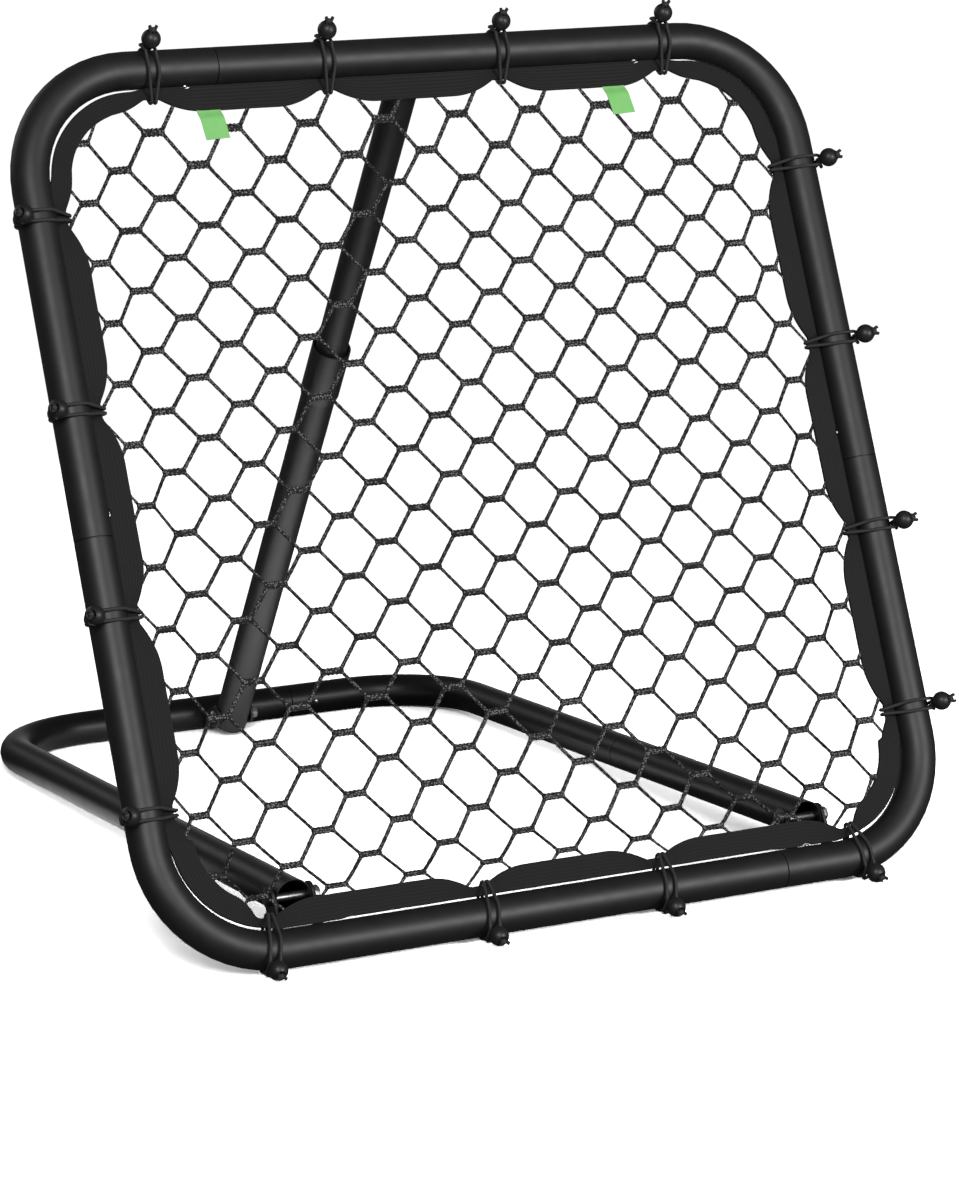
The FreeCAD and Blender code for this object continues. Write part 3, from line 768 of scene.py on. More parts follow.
@dataclass
class Dresser:
    """Gives finished pieces their place, body and finish."""

    layout: Layout
    finishes: dict[str, bpy.types.Material] = field(default_factory=dict)

    def material(self, finish: Finish) -> bpy.types.Material:
        """The material of a finish, made once.

        Args:
            finish: Finish to look up.

        Returns:
            Its material.
        """
        if finish.name not in self.finishes:
            self.finishes[finish.name] = finish.build()
        return self.finishes[finish.name]

    def dress(self, piece: Piece, group: Body, finish: Finish, slot: str, replaces: Sequence[str],
              body: str = "") -> Piece:
        """Set a flat piece in its place and hand it to its body.

        Args:
            piece: Finished piece in its group's flat coordinates.
            group: Body whose flat coordinates those are.
            finish: Finish of its surface.
            slot: Name of the piece's material slot; not used.
            replaces: CAD nodes it stands for.
            body: Name of the CAD body it rides on, where that isn't the group's.

        Returns:
            The piece.
        """
        lay, body = self.layout, body or group.value
        places = {Body.FRAME: lay.frame_place, Body.BASE: lay.base_place}
        piece.data.transform(places.get(group, lay.strut_place))
        piece.data.materials.clear()
        piece.data.materials.append(self.material(finish))
        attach(piece, body)
        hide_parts(*replaces)
        LOG.info("piece %s rides on %s with %d faces", piece.name, body, len(piece.data.polygons))
        return piece


@dataclass
class TubeRun:
    """One tube of the frame or the base: two legs and a bend, or one leg."""

    name: str
    start: Vector
    end: Vector
    corner: Vector | None = None
    bend_r: float = 0.0
    male_start: bool = False
    male_end: bool = False
    steps: int = 14
    rim: float = 0.35 * MM
    rim_angle: float = 50.0
    rooted: float = 4.0 * MM
    shade_angle: float = 20.0

    def build(self, layout: Layout, cutters: Sequence[Piece]) -> Piece:
        """Draw the tube's ring along its run, add its spigots and cut its holes.

        Args:
            layout: Sizes of the tube.
            cutters: Solids to take out of it.

        Returns:
            The tube, flat.
        """
        first = ((self.corner or self.end) - self.start).normalized()
        last = (self.end - (self.corner or self.start)).normalized()
        begin = self.start if self.male_start else self.start + first * layout.seam_gap
        finish = self.end if self.male_end else self.end - last * layout.seam_gap
        tube = Bench.ring(self.name + "_tube", begin, first, layout.tube_r, layout.wall)
        if self.corner is None:
            Bench.pull(finish - begin)
        else:
            self.draw_bend(begin, finish, first, last)
        Bench.close()
        Bench.bevel(tube, self.rim, self.rim_angle)
        parts = [tube]
        if self.male_start:
            parts.append(self.spigot(layout, self.start, -first))
        if self.male_end:
            parts.append(self.spigot(layout, self.end, last))
        Bench.cut(tube, cutters)
        return Bench.smooth(Bench.join(parts, self.name + "_tube"), self.shade_angle)

    def draw_bend(self, begin: Vector, finish: Vector, first: Vector, last: Vector) -> None:
        """Extrude the selected ring along the first leg, spin it round the bend and extrude the last leg.

        Args:
            begin: Where the tube starts.
            finish: Where it ends.
            first: Direction of its first leg.
            last: Direction of its last leg.
        """
        bend_start = self.corner - first * self.bend_r
        centre = bend_start + last * self.bend_r
        turn = -1.0 if first.cross(last).z > 0 else 1.0
        Bench.pull(bend_start - begin)
        bpy.ops.mesh.spin(steps=self.steps, angle=turn * math.pi / 2, center=centre, axis=(0, 0, 1))
        Bench.pull(finish - (self.corner + last * self.bend_r))

    def spigot(self, layout: Layout, seam: Vector, along: Vector) -> Piece:
        """Swaged end that goes into the next tube, rooted a little in its own.

        Args:
            layout: Sizes of the tube.
            seam: Seam that it reaches through.
            along: Direction out of its own tube.

        Returns:
            The spigot.
        """
        inside = along * self.rooted
        piece = Bench.ring("spigot", seam - inside, along, layout.bore_r - layout.slip, layout.wall)
        Bench.pull(along * layout.spigot_length + inside)
        Bench.close()
        return piece


@dataclass
class SprungButton:
    """Snap button: a dome on a folded leaf spring inside the spigot.

    The crown's points are shares of the dome's radius and drops below its tip.
    """

    name: str
    centre: Vector
    inward: Vector
    along: Vector
    group: Body
    radius: float = 2.5 * MM
    hole_r: float = 2.8 * MM
    travel: float = 3.0 * MM
    proud: float = 1.9 * MM
    leaf_length: float = 22.0 * MM
    leaf_width: float = 6.0 * MM
    leaf_wall: float = 0.7 * MM
    leaf_start: float = 0.2 * MM
    leaf_back: float = 4.0 * MM
    leaf_dip: float = 4.0 * MM
    leaf_rise: float = 0.8 * MM
    bow: float = 1.2 * MM
    bow_reach: float = 1.6 * MM
    crown: Outline = ((1.0, 1.3 * MM), (0.9, 0.7 * MM), (0.62, 0.2 * MM), (0.0, 0.0))

    def hole(self, layout: Layout) -> Piece:
        """Cutter for the button's hole through one wall."""
        start = self.centre + self.inward * layout.bore_r * 0.5
        return Bench.bar("hole", start, start + self.inward * layout.tube_r, self.hole_r, 20)

    def build(self, layout: Layout) -> Piece:
        """Turn the dome and fold the leaf behind it.

        Args:
            layout: Sizes of the tube round it.

        Returns:
            The button, flat.
        """
        seat = layout.bore_r - layout.slip - layout.wall - self.bow
        tip = layout.tube_r + self.proud
        crown = [(share * self.radius, tip - drop) for share, drop in self.crown]
        dome = Bench.turned("dome", [(0, seat), (self.radius, seat), *crown], 20)
        leaf = self.leaf(seat)
        whole = Bench.join([dome, leaf], self.name)
        side = self.inward.cross(self.along)
        turn = Matrix((self.along, side, self.inward)).transposed().to_4x4()
        if turn.determinant() < 0:
            turn = Matrix((self.along, -side, self.inward)).transposed().to_4x4()
        whole.data.transform(Matrix.Translation(self.centre) @ turn)
        return Bench.smooth(whole, 40)

    def leaf(self, seat: float) -> Piece:
        """Leaf spring, extruded edge by edge along its fold.

        Args:
            seat: Height of its upper blade.

        Returns:
            The leaf.
        """
        back, length, low = -self.leaf_back, self.leaf_length, seat - self.leaf_dip
        Bench.clear()
        bpy.ops.mesh.primitive_plane_add(size=1.0)
        piece = bpy.context.object
        piece.name = "leaf"
        piece.scale = (self.leaf_start, self.leaf_width, 1)
        piece.location = (back, 0, seat)
        Bench.apply(piece)
        folds = [(length, low), (length + self.bow_reach, low - self.bow), (length, low - 2 * self.bow),
                 (back, -seat + self.travel + self.leaf_rise)]
        Bench.edit(piece)
        bpy.ops.mesh.select_all(action="DESELECT")
        bpy.ops.object.mode_set(mode="OBJECT")
        edge = max(piece.data.edges, key=lambda e: sum(piece.data.vertices[v].co.x for v in e.vertices))
        edge.select = True
        for v in edge.vertices:
            piece.data.vertices[v].select = True
        bpy.ops.object.mode_set(mode="EDIT")
        x, z = back + self.leaf_start / 2, seat
        for fold_x, fold_z in folds:
            Bench.pull(Vector((fold_x - x, 0, fold_z - z)))
            x, z = fold_x, fold_z
        Bench.close()
        return Bench.modify(piece, "SOLIDIFY", thickness=self.leaf_wall, offset=0.0)


@dataclass
class TubeSet:
    """All tubes, their seams and their sprung buttons."""

    layout: Layout
    dresser: Dresser
    seam_top: float = -214.6 * MM
    seam_left: float = 410.3 * MM
    seam_right: float = 407.8 * MM
    seam_bottom: float = 235.4 * MM
    seam_rear: float = 90.1 * MM
    seam_arm: float = 411.0 * MM
    stud_top: float = 254.5 * MM
    stud_sunk: float = 0.2 * MM
    stud_outline: Outline = ((3.6 * MM, 0.0), (3.5 * MM, 0.9 * MM), (2.4 * MM, 1.7 * MM), (0.0, 2.1 * MM))

    def buttons(self) -> dict[str, SprungButton]:
        """Every sprung button by its node's name.

        Returns:
            The buttons.
        """
        lay = self.layout
        out, back, rise, arm = lay.half_width, lay.base_depth, lay.base_rise, lay.half_base
        rows = [("button_top", (-247.8 * MM, lay.height, 0), -Y_AXIS, X_AXIS, Body.FRAME),
                ("button_left", (-out, 435.7 * MM, 0), X_AXIS, -Y_AXIS, Body.FRAME),
                ("button_right", (out, 438.6 * MM, 0), -X_AXIS, -Y_AXIS, Body.FRAME),
                ("button_bottom", (272.0 * MM, 0, 0), Y_AXIS, -X_AXIS, Body.FRAME),
                ("button_rear", (121.0 * MM, back, rise), -Y_AXIS, -X_AXIS, Body.BASE),
                ("button_arm_left", (-arm, 445.7 * MM, rise), X_AXIS, -Y_AXIS, Body.BASE),
                ("button_arm_right", (arm, 445.7 * MM, rise), -X_AXIS, -Y_AXIS, Body.BASE)]
        return {name: SprungButton(name, Vector(centre), *rest) for name, centre, *rest in rows}

    def proud_spots(self) -> list[Vector]:
        """Flat places along the frame where a button or the stud stands out of the tube."""
        spots = [button.centre for button in self.buttons().values() if button.group is Body.FRAME]
        return spots + [Vector((self.stud_top, self.layout.height, 0))]

    def runs(self) -> list[tuple[TubeRun, Body, tuple[str, ...]]]:
        """Every tube with its group and the buttons whose holes it has.

        Returns:
            Rows of tube, group and button names.
        """
        lay = self.layout
        w, h, b, rise = lay.half_width, lay.height, lay.frame_bend, lay.base_rise
        left, right = Vector((-w, self.seam_left, 0)), Vector((w, self.seam_right, 0))
        top, bottom = Vector((self.seam_top, h, 0)), Vector((self.seam_bottom, 0, 0))
        rows = [(TubeRun("frame_top_left", left, top, Vector((-w, h, 0)), b), Body.FRAME,
                 ("button_left", "button_top")),
                (TubeRun("frame_top_right", top, right, Vector((w, h, 0)), b, True), Body.FRAME,
                 ("button_top", "button_right")),
                (TubeRun("frame_bottom_right", right, bottom, Vector((w, 0, 0)), b, True), Body.FRAME,
                 ("button_right", "button_bottom")),
                (TubeRun("frame_bottom_left", bottom, left, Vector((-w, 0, 0)), b, True, True), Body.FRAME,
                 ("button_bottom", "button_left"))]
        for x, word in ((-lay.half_base, "left"), (lay.half_base, "right")):
            arm, rear = Vector((x, self.seam_arm, rise)), Vector((self.seam_rear, lay.base_depth, rise))
            corner, mouth = Vector((x, lay.base_depth, rise)), Vector((x, lay.arm_mouth, rise))
            rows += [(TubeRun("base_rear_" + word, arm, rear, corner, lay.base_bend, False, x < 0), Body.BASE,
                      ("button_rear", "button_arm_" + word)),
                     (TubeRun("base_arm_" + word, mouth, arm, male_end=True), Body.BASE,
                      ("button_arm_" + word,))]
        return rows

    def bolt_hole(self, run: TubeRun) -> list[Piece]:
        """Cutter for an arm's bolt hole, where the run is an arm.

        Args:
            run: Tube that may be drilled.

        Returns:
            One cutter, or none.
        """
        if run.corner is not None:
            return []
        point = run.start + Y_AXIS * self.layout.pivot_setback
        reach = X_AXIS * self.layout.tube_r * THROUGH
        return [Bench.bar("hole", point - reach, point + reach, self.layout.bolt_hole_r, 24)]

    def stud(self) -> Piece:
        """Domed rivet on the inner side of the top bar.

        Returns:
            The rivet, flat.
        """
        foot = self.layout.tube_r - self.stud_sunk
        outline = [(radius, foot + rise) for radius, rise in self.stud_outline]
        dome = Bench.turned("top_stud", [(0, foot), *outline], 20)
        dome.data.transform(Matrix.Translation((self.stud_top, self.layout.height, 0)) @ rotation(90, "X"))
        return Bench.smooth(dome, 60)

    def build(self) -> None:
        """Make and dress the tubes, the buttons and the stud."""
        buttons, polished = self.buttons(), BrightSteel("polished_steel", (0.6,) * 3, (0.8,) * 3, 0.3)
        # Painted shade: the base's tubes wear a darker, less glossy copy of the frame's powder coat. The real
        # base has the same coat and is only lit less.
        shaded_base_coat = PowderCoat("base_powder_coat_painted_shade", (0.003,) * 3, (0.005,) * 3, 0.4, gloss=0.38)
        coats = {Body.FRAME: PowderCoat(), Body.BASE: shaded_base_coat}
        for run, group, names in self.runs():
            cutters = [buttons[name].hole(self.layout) for name in names] + self.bolt_hole(run)
            tube = run.build(self.layout, cutters)
            self.dresser.dress(tube, group, coats[group], "tube", [run.name])
        for name, button in buttons.items():
            piece = button.build(self.layout)
            piece.name = name + "_piece"
            self.dresser.dress(piece, button.group, polished, "button", [name], name)
        self.dresser.dress(self.stud(), Body.FRAME, polished, "fastener", ["top_stud"])


@dataclass
class Ear:
    """One plate of a clevis; the corners of its foot are shares of the tube's radius."""

    radius: float = 12.0 * MM
    wall: float = 3.0 * MM
    foot_front: float = 0.6
    foot_rear: tuple[float, float] = (-0.05, -0.9)
    rounding: float = 0.5 * MM

    def build(self, layout: Layout, reach: float, back: float, front_cut: float) -> Piece:
        """Hull of the rounded end and the foot, holed, seated on the tube and thickened.

        Args:
            layout: Sizes of the tube it sits on.
            reach: Distance of the bolt along Y.
            back: Distance of the bolt along minus Z.
            front_cut: How far behind the tube's middle the front edge starts.

        Returns:
            The plate in the plane x = 0, its wall towards +X.
        """
        pivot = Vector((0, reach, -back))
        plate = Bench.disc("ear", pivot, X_AXIS, self.radius)
        r = layout.tube_r
        front = Vector((0, self.foot_front * r, min(0.0, -front_cut)))
        feet = [front, Vector((0, self.foot_rear[0] * r, self.foot_rear[1] * r))]
        for foot in feet:
            Bench.edit(plate)
            bpy.ops.mesh.select_all(action="DESELECT")
            bpy.ops.object.mode_set(mode="OBJECT")
            plate.data.vertices[0].select = True
            bpy.ops.object.mode_set(mode="EDIT")
            move = foot - plate.data.vertices[0].co
            bpy.ops.mesh.extrude_vertices_move(TRANSFORM_OT_translate={"value": move})
        bpy.ops.mesh.select_all(action="SELECT")
        bpy.ops.mesh.delete(type="ONLY_FACE")
        bpy.ops.mesh.select_all(action="SELECT")
        bpy.ops.mesh.convex_hull()
        bpy.ops.mesh.select_all(action="SELECT")
        bpy.ops.mesh.dissolve_limited(angle_limit=math.radians(1))
        Bench.close()
        Bench.modify(plate, "SOLIDIFY", thickness=self.wall, offset=0.0)
        plate.data.transform(Matrix.Translation((self.wall / 2, 0, 0)))
        far = X_AXIS * 4 * self.wall
        hole = Bench.bar("hole", pivot - far, pivot + far, layout.bolt_hole_r)
        Bench.cut(plate, [hole, Bench.bar("seat", -far, far, r)])
        return Bench.bevel(plate, self.rounding)


@dataclass
class Fastener:
    """Button-head bolt along X with a flange nut; the head's crown is in shares of its radius and height."""

    shank_r: float = 4.0 * MM
    head_r: float = 7.0 * MM
    head_height: float = 4.4 * MM
    head_edge: float = 0.3 * MM
    crown: Outline = ((1.0, 0.25), (0.93, 0.5), (0.8, 0.75), (0.62, 1.0), (0.0, 1.0))
    socket_r: float = 2.9 * MM
    socket_depth: float = 2.6 * MM
    beyond: float = 9.0 * MM
    shank_sunk: float = 0.1 * MM
    tip: float = 0.8 * MM
    nut_r: float = 7.5 * MM
    nut_height: float = 7.5 * MM
    nut_edge: float = 0.5 * MM
    nut_bore: float = 1.02
    flange_r: float = 8.5 * MM
    flange_edge: float = 0.7 * MM
    flange_height: float = 1.9 * MM
    flange_waist: float = 0.9
    pitch: float = 1.25 * MM
    thread: float = 0.45 * MM
    thread_lead: float = 2.0 * MM

    def bolt(self, centre: Vector, outside: float) -> Piece:
        """Bolt whose head bears at -outside of the clevis' middle.

        Args:
            centre: Middle of the clevis.
            outside: Distance from there to the ears' outer faces.

        Returns:
            The bolt.
        """
        h, r, edge = self.head_height, self.head_r, self.head_edge
        crown = [(r * wide, h * high) for wide, high in self.crown]
        head = Bench.turned("head", [(0, 0), (r - edge, 0), (r, edge), *crown])
        deep = h - self.socket_depth
        Bench.cut(head, [Bench.bar("socket", Vector((0, 0, deep)), Vector((0, 0, h * 2)), self.socket_r, 6)])
        length = 2 * outside + self.beyond
        start = 2 * outside - self.thread_lead
        profile = [(0, self.shank_sunk), (self.shank_r, self.shank_sunk), (self.shank_r, -start)]
        turns = int((length - start - self.tip) / self.pitch)
        for turn in range(turns):
            top = -start - turn * self.pitch
            profile += [(self.shank_r - self.thread, top - self.pitch / 2), (self.shank_r, top - self.pitch)]
        profile += [(self.shank_r - self.tip, -length), (0, -length)]
        whole = Bench.join([head, Bench.turned("shank", profile)], "bolt")
        whole.data.transform(Matrix.Translation(centre - X_AXIS * outside) @ rotation(-90, "Y"))
        return Bench.smooth(whole, 40)

    def nut(self, centre: Vector, outside: float) -> Piece:
        """Flange nut that bears at +outside of the clevis' middle.

        Args:
            centre: Middle of the clevis.
            outside: Distance from there to the ears' outer faces.

        Returns:
            The nut.
        """
        h, wide, high = self.nut_height, self.flange_r, self.flange_height
        body = Bench.bar("nut", Z_AXIS * self.nut_edge, Z_AXIS * h, self.nut_r, 6)
        Bench.bevel(body, self.nut_edge)
        flange = Bench.turned("flange", [(0, 0), (wide, 0), (wide, self.flange_edge),
                                         (self.nut_r * self.flange_waist, high), (0, high)])
        Bench.modify(body, "BOOLEAN", operation="UNION", solver="EXACT", object=flange)
        bpy.data.objects.remove(flange)
        Bench.cut(body, [Bench.bar("bore", Z_AXIS * -h, Z_AXIS * 2 * h, self.shank_r * self.nut_bore)])
        body.data.transform(Matrix.Translation(centre + X_AXIS * outside) @ rotation(90, "Y"))
        return Bench.smooth(body, 30)


@dataclass
class Hardware:
    """Clevises, bolts and nuts of the arms and the strut."""

    layout: Layout
    dresser: Dresser
    ear: Ear = field(default_factory=Ear)
    fastener: Fastener = field(default_factory=Fastener)
    clearance: float = 0.4 * MM
    hem_clearance: float = 3.5 * MM

    def clevis(self, name: str, sets: Sequence[tuple[Matrix, float]], reach: float, back: float,
               front_cut: float) -> Piece:
        """Pairs of ears at several places.

        Args:
            name: Name of the piece.
            sets: Place of each pair's tube axis, and the ears' inner distance from it.
            reach: Distance of the bolt along Y.
            back: Distance of the bolt along minus Z.
            front_cut: How far behind the tube's middle the ears' front edge starts.

        Returns:
            All the ears as one piece, flat.
        """
        plate = self.ear.build(self.layout, reach, back, front_cut)
        ears = []
        for place, inside in sets:
            ears.append(Bench.copy(plate, place @ Matrix.Translation((inside, 0, 0))))
            ears.append(Bench.copy(plate, place @ Matrix.Translation((-inside - self.ear.wall, 0, 0))))
        bpy.data.objects.remove(plate)
        return Bench.smooth(Bench.join(ears, name), 40)

    def build(self) -> None:
        """Make and dress the brackets and their fasteners."""
        lay = self.layout
        pivot = lay.arm_pivot
        wide, slim = lay.tube_r + self.clearance, lay.upper_r + self.clearance
        arms = [(Matrix.Translation((side * lay.half_base, 0, 0)), wide) for side in (-1, 1)]
        flip = Matrix.Diagonal((1, -1, 1, 1))
        brackets = [
            (self.clevis("arm_bracket_plates", arms, pivot.y, -pivot.z, self.hem_clearance), Body.FRAME,
             "arm_brackets"),
            (self.clevis("strut_bracket_plates", [(Matrix.Translation((0, lay.height, 0)) @ flip, slim)],
                         lay.strut_top_drop, lay.strut_top_back, self.hem_clearance),
             Body.FRAME, "strut_bracket"),
            (self.clevis("foot_bracket_plates",
                         [(Matrix.Translation((0, lay.base_depth, lay.base_rise)) @ flip, wide)],
                         lay.foot_forward, -lay.foot_rise, 0.0), Body.BASE, "foot_bracket"),
        ]
        for piece, group, node in brackets:
            self.dresser.dress(piece, group, PowderCoat(), "bracket", [node])
        wall = self.ear.wall
        spots = [(Vector((side * lay.half_base, pivot.y, pivot.z)), wide + wall) for side in (-1, 1)]
        spots.append((lay.top_pivot, slim + wall))
        foot = [(lay.foot_pivot, wide + wall)]
        for holes, group, bolt, nut in ((spots, Body.FRAME, "frame_bolts", "frame_nuts"),
                                        (foot, Body.BASE, "foot_bolt", "foot_nut")):
            for node, make in ((bolt, self.fastener.bolt), (nut, self.fastener.nut)):
                piece = Bench.join([make(centre, outside) for centre, outside in holes], node + "_set")
                self.dresser.dress(piece, group, BrightSteel(), "fastener", [node])


@dataclass
class Strut:
    """Telescopic rear strut: lower tube, its wide socket and the upper tube."""

    layout: Layout
    dresser: Dresser
    upper_top: float = 10.0 * MM
    upper_length: float = 588.0 * MM
    lower_foot: float = 13.0 * MM
    collar_r: float = 21.2 * MM
    collar_rim: float = 348.3 * MM
    collar_length: float = 70.0 * MM
    collar_lip: float = 16.0 * MM
    collar_depth: float = 8.0 * MM
    tongue: float = 9.0 * MM
    tongue_back: float = 12.0 * MM
    slip: float = 0.3 * MM
    seat_slip: float = 0.02 * MM
    chamfer: float = 6.0 * MM
    edge: float = 0.5 * MM
    shoulder: tuple[float, float] = (0.3 * MM, 1.0 * MM)
    mouth: tuple[float, float] = (0.4 * MM, 2.0 * MM)
    slot: float = 13.6 * MM
    rim: float = 0.3 * MM
    rim_angle: float = 50.0
    collar_rounding: float = 0.35 * MM

    def tube(self, name: str, low: float, high: float, radius: float,
             holes: Sequence[tuple[float, float]]) -> Piece:
        """Straight open tube with bolt holes across it.

        Args:
            name: Name of the piece.
            low: Height of its lower end.
            high: Height of its upper end.
            radius: Its outer radius.
            holes: Height and length of each hole.

        Returns:
            The tube, upright.
        """
        piece = Bench.ring(name, Z_AXIS * low, Z_AXIS, radius, self.layout.wall)
        Bench.pull(Z_AXIS * (high - low))
        Bench.close()
        for height, length in holes:
            reach, hole_r = X_AXIS * radius * THROUGH, self.layout.bolt_hole_r
            cutter = Bench.bar("slot", Z_AXIS * height - reach, Z_AXIS * height + reach, hole_r)
            stretch = (length - 2 * hole_r) / 2
            for vertex in cutter.data.vertices:
                vertex.co.z += math.copysign(stretch, vertex.co.z - height)
            Bench.cut(piece, [cutter])
        return Bench.smooth(Bench.bevel(piece, self.rim, self.rim_angle), 20)

    def socket(self) -> Piece:
        """Wide mouth over the lower tube's end, its tongue left at the rear.

        Returns:
            The socket, upright.
        """
        rim = self.layout.strut_length - self.collar_rim
        low, seat, top = rim - self.collar_length, rim - self.collar_lip, rim + self.tongue
        outer, inner = self.collar_r, self.collar_r - self.layout.wall
        bore, seated = self.layout.upper_r + self.slip, self.layout.tube_r + self.seat_slip
        edge, shoulder = self.edge, low + self.chamfer
        profile = [(seated, low), (seated + edge, low), (outer - self.shoulder[0], shoulder),
                   (outer, shoulder + self.shoulder[1]), (outer, top - edge), (outer - edge, top),
                   (inner + self.mouth[0], top), (inner, top - edge), (inner, rim - self.mouth[1]),
                   (bore, rim - self.collar_depth), (bore, seat), (seated, seat), (seated, low)]
        piece = Bench.turned("strut_socket", profile, 64)
        for low_x, low_y, high_x, high_y in ((0, -1, 1, 1), (-1, -1, 1, self.tongue_back / (2 * outer))):
            Bench.clear()
            bpy.ops.mesh.primitive_cube_add(size=1.0)
            cutter = bpy.context.object
            cutter.scale = ((high_x - low_x) * 2 * outer, (high_y - low_y) * 2 * outer, 2 * self.tongue)
            cutter.location = ((low_x + high_x) * outer, (low_y + high_y) * outer, rim + self.tongue)
            Bench.cut(piece, [Bench.apply(cutter)])
        return Bench.smooth(Bench.bevel(piece, self.collar_rounding, 60))

    def build(self) -> None:
        """Make and dress the strut."""
        lay = self.layout
        length = lay.strut_length
        seat = length - self.collar_rim - self.collar_lip
        lower = self.tube("strut_lower_tube", -self.lower_foot, seat, lay.tube_r,
                          [(0.0, 2 * lay.bolt_hole_r)])
        top = length + self.upper_top
        upper = self.tube("strut_upper_tube", top - self.upper_length, top, lay.upper_r,
                          [(length, self.slot)])
        for piece, group, slot, node in ((lower, Body.LOWER, "tube", "strut_lower"),
                                         (self.socket(), Body.LOWER, "collar", "strut_collar"),
                                         (upper, Body.UPPER, "tube", "strut_upper")):
            self.dresser.dress(piece, group, PowderCoat(), slot, [node])


@dataclass
class Bungees:
    """Ball bungees that lash the hem to the frame.

    A mouth's points are how much wider than the hole it is at a depth. The passes are the degrees from the
    ball's ray at which the cord meets and leaves the tube.
    """

    layout: Layout
    dresser: Dresser
    cord_r: float = 1.75 * MM
    ball_r: float = 9.7 * MM
    ball_out: float = 22.4 * MM
    ball_front: float = 27.8 * MM
    hem_depth: float = 31.0 * MM
    hem_half: float = 2.0 * MM
    hole_r: float = 3.4 * MM
    mouth: Outline = ((1.5 * MM, 0.1 * MM), (0.9 * MM, 0.4 * MM), (0.0, 2.5 * MM))
    hole_end: float = 0.8 * MM
    off_tube: float = 0.3 * MM
    off_hem: float = 0.4 * MM
    hem_inset: float = 1.0 * MM
    ray_foot: float = 1.0 * MM
    passes: tuple[float, float, float, float] = (14.0, 24.0, 8.0, 26.0)
    end_length: float = 5.0 * MM
    fork: float = 4.5 * MM
    knot_r: float = 2.9 * MM
    knot_proud: float = 0.58 * MM
    apart_from_tip: tuple[float, ...] = (3.7 * MM, 1.6 * MM, 1.5 * MM, 1.7 * MM, 1.9 * MM)
    apart_at_ball: float = 5.2 * MM
    apart_at_hem: float = 2.4 * MM
    drift_bottom: float = 8.0 * MM
    drift_corner: float = 4.0 * MM
    drift_top: float = 1.5 * MM
    top: tuple[float, ...] = (-0.336, -0.1143, 0.1143, 0.336)
    side: tuple[float, ...] = (0.1638, 0.384, 0.6137, 0.8342)
    bottom: tuple[float, ...] = (-0.1149, 0.1149)
    corner_angle: float = 8.5
    steps: int = 10

    @property
    def corner(self) -> tuple[Vector, Vector]:
        """Place and outward direction of the right bungee on a bottom bend.

        Returns:
            The two vectors.
        """
        lay, turn = self.layout, math.radians(self.corner_angle)
        centre = Vector((lay.half_width - lay.frame_bend, lay.frame_bend, 0))
        outward = Vector((math.sin(turn), -math.cos(turn), 0))
        return centre + outward * lay.frame_bend, outward

    def places(self) -> dict[str, list[tuple[Vector, Vector]]]:
        """Tube point and outward direction of every bungee, by node.

        Returns:
            Rows of point and direction for each node.
        """
        lay = self.layout
        upper = [(Vector((lay.width * share, lay.height, 0)), Side.TOP.outward) for share in self.top]
        for share in self.side:
            upper.append((Vector((-lay.half_width, lay.height * share, 0)), Side.LEFT.outward))
            upper.append((Vector((lay.half_width, lay.height * share, 0)), Side.RIGHT.outward))
        low = [(Vector((lay.width * share, 0, 0)), Side.BOTTOM.outward) for share in self.bottom]
        point, outward = self.corner
        low.append((point, outward))
        low.append((Vector((-point.x, point.y, 0)), Vector((-outward.x, outward.y, 0))))
        return {"upper": upper, "bottom": low}

    def arc(self, centre: float, radius: float, start: float, end: float, aside: float) -> list[Vector]:
        """Points of an arc round (centre, 0), in degrees, set aside along the tube."""
        turns = [math.radians(start + (end - start) * i / self.steps) for i in range(self.steps + 1)]
        return [Vector((centre + radius * math.cos(a), radius * math.sin(a), aside)) for a in turns]

    def route(self) -> list[Vector]:
        """Route of one cord, x outward from the tube's axis, y to the front and z along the tube.

        It starts at one end, goes through the ball, round the tube and the hem and back, crosses under the
        ball and returns as its own mirror image.

        Returns:
            Its points in order.
        """
        near = self.layout.tube_r + self.off_tube + self.cord_r
        far = near + 2 * self.cord_r
        small = self.hem_half + self.off_hem + self.cord_r
        hem = -self.hem_depth - self.hem_inset + self.hem_half
        lean = math.degrees(math.acos((near - small) / -hem))
        out = math.degrees(math.atan2(self.ball_front, self.ball_out))
        tip = math.hypot(self.ball_out, self.ball_front) + self.ball_r + self.end_length
        ray = Vector((math.cos(math.radians(out)), math.sin(math.radians(out)), 0))
        reaches = (tip, tip - self.fork, tip - 2 * self.ball_r, far + self.ray_foot)
        half = [ray * reach + Z_AXIS * apart for reach, apart in zip(reaches, self.apart_from_tip)]
        meet, leave, over, under = self.passes
        half += self.arc(0, near, out - meet, lean - 180, self.apart_from_tip[-1])
        half += self.arc(hem, small, lean - 180, -180 - lean, self.apart_at_hem)
        half += self.arc(0, near, 180 - lean, out + leave, self.apart_at_ball)
        half += self.arc(0, far, out + over, out - under, self.apart_at_ball)
        bight, turned = half[-1], math.radians(out - under)
        drop = Vector((math.sin(turned), -math.cos(turned), 0)) * self.apart_at_ball
        turn = [bight + drop * math.sin(a) - Z_AXIS * self.apart_at_ball * (1 - math.cos(a))
                for a in (math.pi / 6 * i for i in range(1, 6))]
        back = [Vector((p.x, p.y, -p.z)) for p in reversed(half)]
        return half + turn + back

